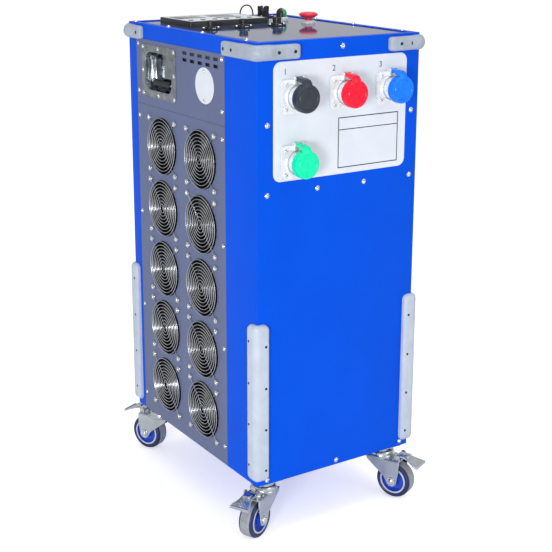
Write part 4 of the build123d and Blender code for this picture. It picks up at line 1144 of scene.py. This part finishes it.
def castellated_cap():
    """Rings of radius r at rising heights; the upper rings follow a six-toothed wave round the rim."""
    x, y, _ = sum(lo_hi("control_inlet")) / 2
    low, high = lo_hi("control_cap")
    z0, z1 = low[2] / MM, high[2] / MM
    r = 12.4
    a = np.linspace(0, 2 * math.pi, 96, endpoint=False)
    wave = np.clip(np.sin(6 * a) * 3, -1, 1)
    teeth = z1 - 5 + 5 * (wave > 0)
    rings = [(10, z0), (r, z0), (r, z0 + 3), (r - 0.9, z0 + 3.6), (r - 0.9, z0 + 5.2), (r, z0 + 6)]
    rings += [(r, z1 - 6.5), (r, np.minimum(teeth, z1 - 0.6)), (r - 0.7, teeth), (r - 4, teeth)]
    rings += [(r - 4.2, z1 - 5.2), (0.5, z1 - 5.2)]
    rows = [np.stack([k * np.cos(a), k * np.sin(a), z + 0 * a], -1) for k, z in rings]
    shells = [loft(np.array([x, y, 0]) + np.array(rows) * MM)]
    piece("castellated_cap", shells, ["black_plastic"], "inlet_cap", ["control_cap"])


def lanyard():
    """Cap lanyard on one smooth curve through its route points."""
    route = ((60, 203, 0), (60, 203, 26), (93, 203, 26), (93, 203, 0))
    curve = bpy.data.curves.new("cap_lanyard", "CURVE")
    curve.dimensions = "3D"
    curve.bevel_depth = 1.5 * MM
    curve.bevel_resolution = 4
    curve.use_fill_caps = True
    spline = curve.splines.new("NURBS")
    spline.points.add(len(route) - 1)
    for point, (x, y, z) in zip(spline.points, route):
        point.co = (x * MM, y * MM, PLATE_TOP + z * MM, 1.0)
    spline.order_u = 3
    spline.use_endpoint_u = True
    spline.resolution_u = 24
    obj = bpy.data.objects.new("cap_lanyard", curve)
    bpy.context.scene.collection.objects.link(obj)
    curve.materials.append(MATERIALS["cord_black"])
    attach(obj, "cabinet")
    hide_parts("lanyard")


# ------------------------------------------------------------------ casters

# height of the axle, which is the wheel's radius, and how far it trails behind the king pin, in millimetres
AXLE_Z, TRAIL = 37.5, 33


class LOADBANK_OT_casters(LoadBankOperator, bpy.types.Operator):
    """Make the four braked swivel casters: forks, wheels, treads and pedals"""

    bl_idname = "loadbank.casters"
    bl_label = "Casters"

    def execute(self, context):
        plates = []
        for name in CASTER_NAMES:
            x, y, _ = JOINTS["swivel_" + name]["pos_m"]
            axle = np.array(JOINTS["roll_" + name]["pos_m"])
            axis = unit(JOINTS["roll_" + name]["axis"])
            heading = np.array([axis[1], -axis[0], 0.0])
            plates += plate_shells(x, y)
            fork_piece(name, np.array([x, y, 0]), heading, axis)
            wheel_pieces(name, axle, axis)
            pedal_piece(name, np.array([x, y, 0]), heading, axis)
        piece("caster_top_plates", plates, ["zinc", "screw_steel"], "cabinet", ["caster_plates"])
        return {"FINISHED"}


def plate_shells(x, y):
    """Bolted top plate with four screws, and the upper race with its seal groove."""
    seat = np.array([x, y, ZB - 3 * MM])
    shells = [slab(rounded(62, 62, 7, 5), eased(0, 3, 0.5), top_place(*seat))]
    race = [(0, 0), (18, 0), (21.5, 1.2), (22.4, 3), (22.4, 6), (20.5, 8.5), (20.5, 12), (0, 12)]
    shells.append(turned(race, seat - mm(0, 0, 11.5), UP, 44))
    for dx, dy in CORNERS:
        shells.append(dome_screw(seat + mm(24 * dx, 24 * dy, 0), (0, 0, -1), 5, 4, 1, 6))
    return shells


def fork_piece(name, base, heading, axis):
    """Race housing, crown, two tapering cheeks round the boss, domed nuts and pedal lugs."""
    up = np.array(UP)
    inner, outer = 18.2, 21.0
    corners = [[-25, 83], [-26, 79], [-23, 74], [-10, 64], [6, 52], [15, 44.5]]
    back = [[46, 46], [48.5, 60], [49, 76], [48, 83]]
    cheek = np.concatenate([corners, arc(TRAIL, AXLE_Z, 11.5, 205, 345, 12), back])
    bead = arc(TRAIL, AXLE_Z, 8.6, 0, 345, 24)
    lug = np.concatenate([[[35, 82], [48, 82]], arc(42, 90, 5.4, 0, 180, 9)])
    dome = [(6.2 * math.cos(a), 0.9 + 3.3 * math.sin(a)) for a in np.linspace(0, math.pi / 2, 7)]
    acorn = [(0, 0), (8.4, 0), (8.4, 0.9)] + dome

    def at(ahead, height, side):
        """Point in the caster's own directions, from millimetres."""
        return base + (ahead * heading + height * up + side * axis) * MM

    shells = []
    for s in (-1, 1):
        frame_at = (at(0, 0, s * inner), heading, up, s * axis)
        shells.append(slab(cheek, [(0, 0.3), (0.3, 0), (2.2, 0), (2.8, 0.8)], frame_at))
        frame_at = (at(0, 0, s * (outer - 0.2)), heading, up, s * axis)
        shells.append(slab(bead, [(0, 0), (0.9, 0.2), (1.2, 0.9)], frame_at))
        shells.append(turned(acorn, at(TRAIL, AXLE_Z, s * (outer + 1)), s * axis, 24, 1))
        frame_at = (at(0, 0, s * 13.5), heading, up, s * axis)
        shells.append(slab(lug, [(0, 0.3), (0.3, 0), (2.7, 0), (3, 0.3)], frame_at))
        rivet = [(0, 0), (3.2, 0), (2.8, 1.2), (0, 1.7)]
        shells.append(turned(rivet, at(42, 90, s * 16.5), s * axis, 16, 1))
    crown = [(48, -21), (48, 21), (-25, 21), (-25, -21)]
    crown_levels = [(79, 1.5), (80.5, 0), (81.6, 0), (83, 2.2)]
    shells.append(slab(crown, crown_levels, (base, heading, axis, up)))
    race = [(0, 79), (24, 79), (26.5, 83), (26.5, 86), (24.6, 89), (24.4, 92.5), (22.5, 95), (0, 95)]
    shells.append(turned(race, base, up, 44))
    bolt = [(0, 0), (4, 0), (4, 2 * outer), (0, 2 * outer)]
    shells.append(turned(bolt, at(TRAIL, AXLE_Z, -outer), axis, 16, 1))
    finishes = ["zinc", "screw_steel"]
    piece("pressed_fork_" + name, shells, finishes, "caster_" + name, ["fork_" + name])


def wheel_pieces(name, axle, axis):
    """Wheel centre with dished web and pale rim ring, and the tread with dark shoulders."""
    web = [(4.3, 17.4), (9.5, 17.4), (10.8, 16.4), (11.2, 9), (13, 7), (21.5, 6.6), (23.8, 8.4), (24.6, 14)]
    rim = [(24.6, 14), (25.2, 14.8), (27.4, 14.8), (28.4, 13.6), (28.4, 0)]
    shells = [turned(web, axle, s * axis, 48) for s in (-1, 1)]
    shells += [turned(rim, axle, s * axis, 48, 1) for s in (-1, 1)]
    shells.append(turned([(4.3, -17.4), (4.3, 17.4)], axle, axis, 48))
    body = "roller_" + name
    piece("wheel_centre_" + name, shells, ["wheel_blue", "wheel_ring"], body, ["wheel_" + name])
    half, shoulder, r = 15, 4.2, AXLE_Z
    side = [(28.5, 1), (30.4, 0), (33.6, 0.3), (36.0, 2.2), (r - 0.25, 5), (r, 8)]
    edge = [(k, d - half) for k, d in side] + [(k, half - d) for k, d in side[::-1]]
    shells = [turned(edge + edge[:1], axle, axis, 64)]
    tread = piece("tread_" + name, shells, ["tyre_grey", "tyre_edge"], body, ["tyre_" + name])
    polygons = tread.data.polygons
    centres = np.zeros(len(polygons) * 3)
    polygons.foreach_get("center", centres)
    along = np.abs((centres.reshape(-1, 3) - axle) @ axis)
    polygons.foreach_set("material_index", (along > (half - shoulder) * MM).astype(np.int32))


def pedal_piece(name, base, heading, axis):
    """Rolled pedal plate sloping out, raised thumb block, and a flared tab with a turned lip."""
    up = np.array(UP)
    # stations along the pedal: distance, height, half width, half thickness
    stations = (
        (37.0, 89.6, 12.6, 2.4), (42.0, 91.0, 13.0, 3.4), (48.0, 91.4, 13.0, 2.6),
        (56.0, 90.2, 12.4, 1.6), (66.0, 87.4, 13.4, 1.5), (74.0, 85.2, 16.5, 1.5),
        (80.0, 83.4, 20.2, 1.5), (86.0, 81.7, 21.0, 1.5), (89.6, 80.4, 20.6, 1.4),
    )
    sections = []
    for d, z, w, t in stations:
        o = rounded(2 * w, 2 * t, 0.9 * t, 4)
        drop = 2.0 * (o[:, 0] / 21) ** 2 * np.clip((d - 60) / 25, 0, 1)
        sections.append(d * heading + o[:, :1] * axis + (z + o[:, 1:2] - drop[:, None]) * up)
    shells = [shaded(loft(base + np.array(sections) * MM), 0)]
    place = (base + (59 * heading + 87 * up) * MM, heading, axis, up)
    shells.append(slab(rounded(13, 16, 2.5, 4), [(0, 0), (7, 0.4), (8.4, 1.4), (8.8, 3)], place))
    place = (base + (87.6 * heading + 80.4 * up) * MM, heading, axis, up)
    lip = [(-2.6, 0.6), (-1.6, 0), (1.6, 0), (2.4, 0.5)]
    shells.append(slab(rounded(3.4, 40, 1.2, 4), lip, place))
    piece("brake_pedal_" + name, shells, ["zinc"], "brake_" + name, ["pedal_" + name])


# ------------------------------------------------------------------ registration


OPERATORS = (
    LOADBANK_OT_finishes,
    LOADBANK_OT_stage,
    LOADBANK_OT_fans,
    LOADBANK_OT_screws,
    LOADBANK_OT_marking,
    LOADBANK_OT_bumpers,
    LOADBANK_OT_inlets,
    LOADBANK_OT_handle,
    LOADBANK_OT_controls,
    LOADBANK_OT_casters,
)


class LOADBANK_PT_panel(bpy.types.Panel):
    """Sidebar panel with the settings and one button per group"""

    bl_idname = "LOADBANK_PT_panel"
    bl_label = "Load Bank"
    bl_space_type = "VIEW_3D"
    bl_region_type = "UI"
    bl_category = "Load Bank"

    def draw(self, context):
        p = context.scene.load_bank
        for key in LoadBankSettings.__annotations__:
            self.layout.prop(p, key)
        for op in OPERATORS:
            self.layout.operator(op.bl_idname)


CLASSES = (LoadBankSettings, *OPERATORS, LOADBANK_PT_panel)


def register():
    """Register the classes and the settings."""
    for cls in CLASSES:
        bpy.utils.register_class(cls)
    bpy.types.Scene.load_bank = bpy.props.PointerProperty(type=LoadBankSettings)


def unregister():
    """Remove the settings and the classes."""
    del bpy.types.Scene.load_bank
    for cls in reversed(CLASSES):
        bpy.utils.unregister_class(cls)


def main():
    """Run every operator in order."""
    register()
    for op in OPERATORS:
        group, call = op.bl_idname.split(".")
        getattr(getattr(bpy.ops, group), call)()
    bpy.context.view_layer.update()


if __name__ == "__main__":
    main()
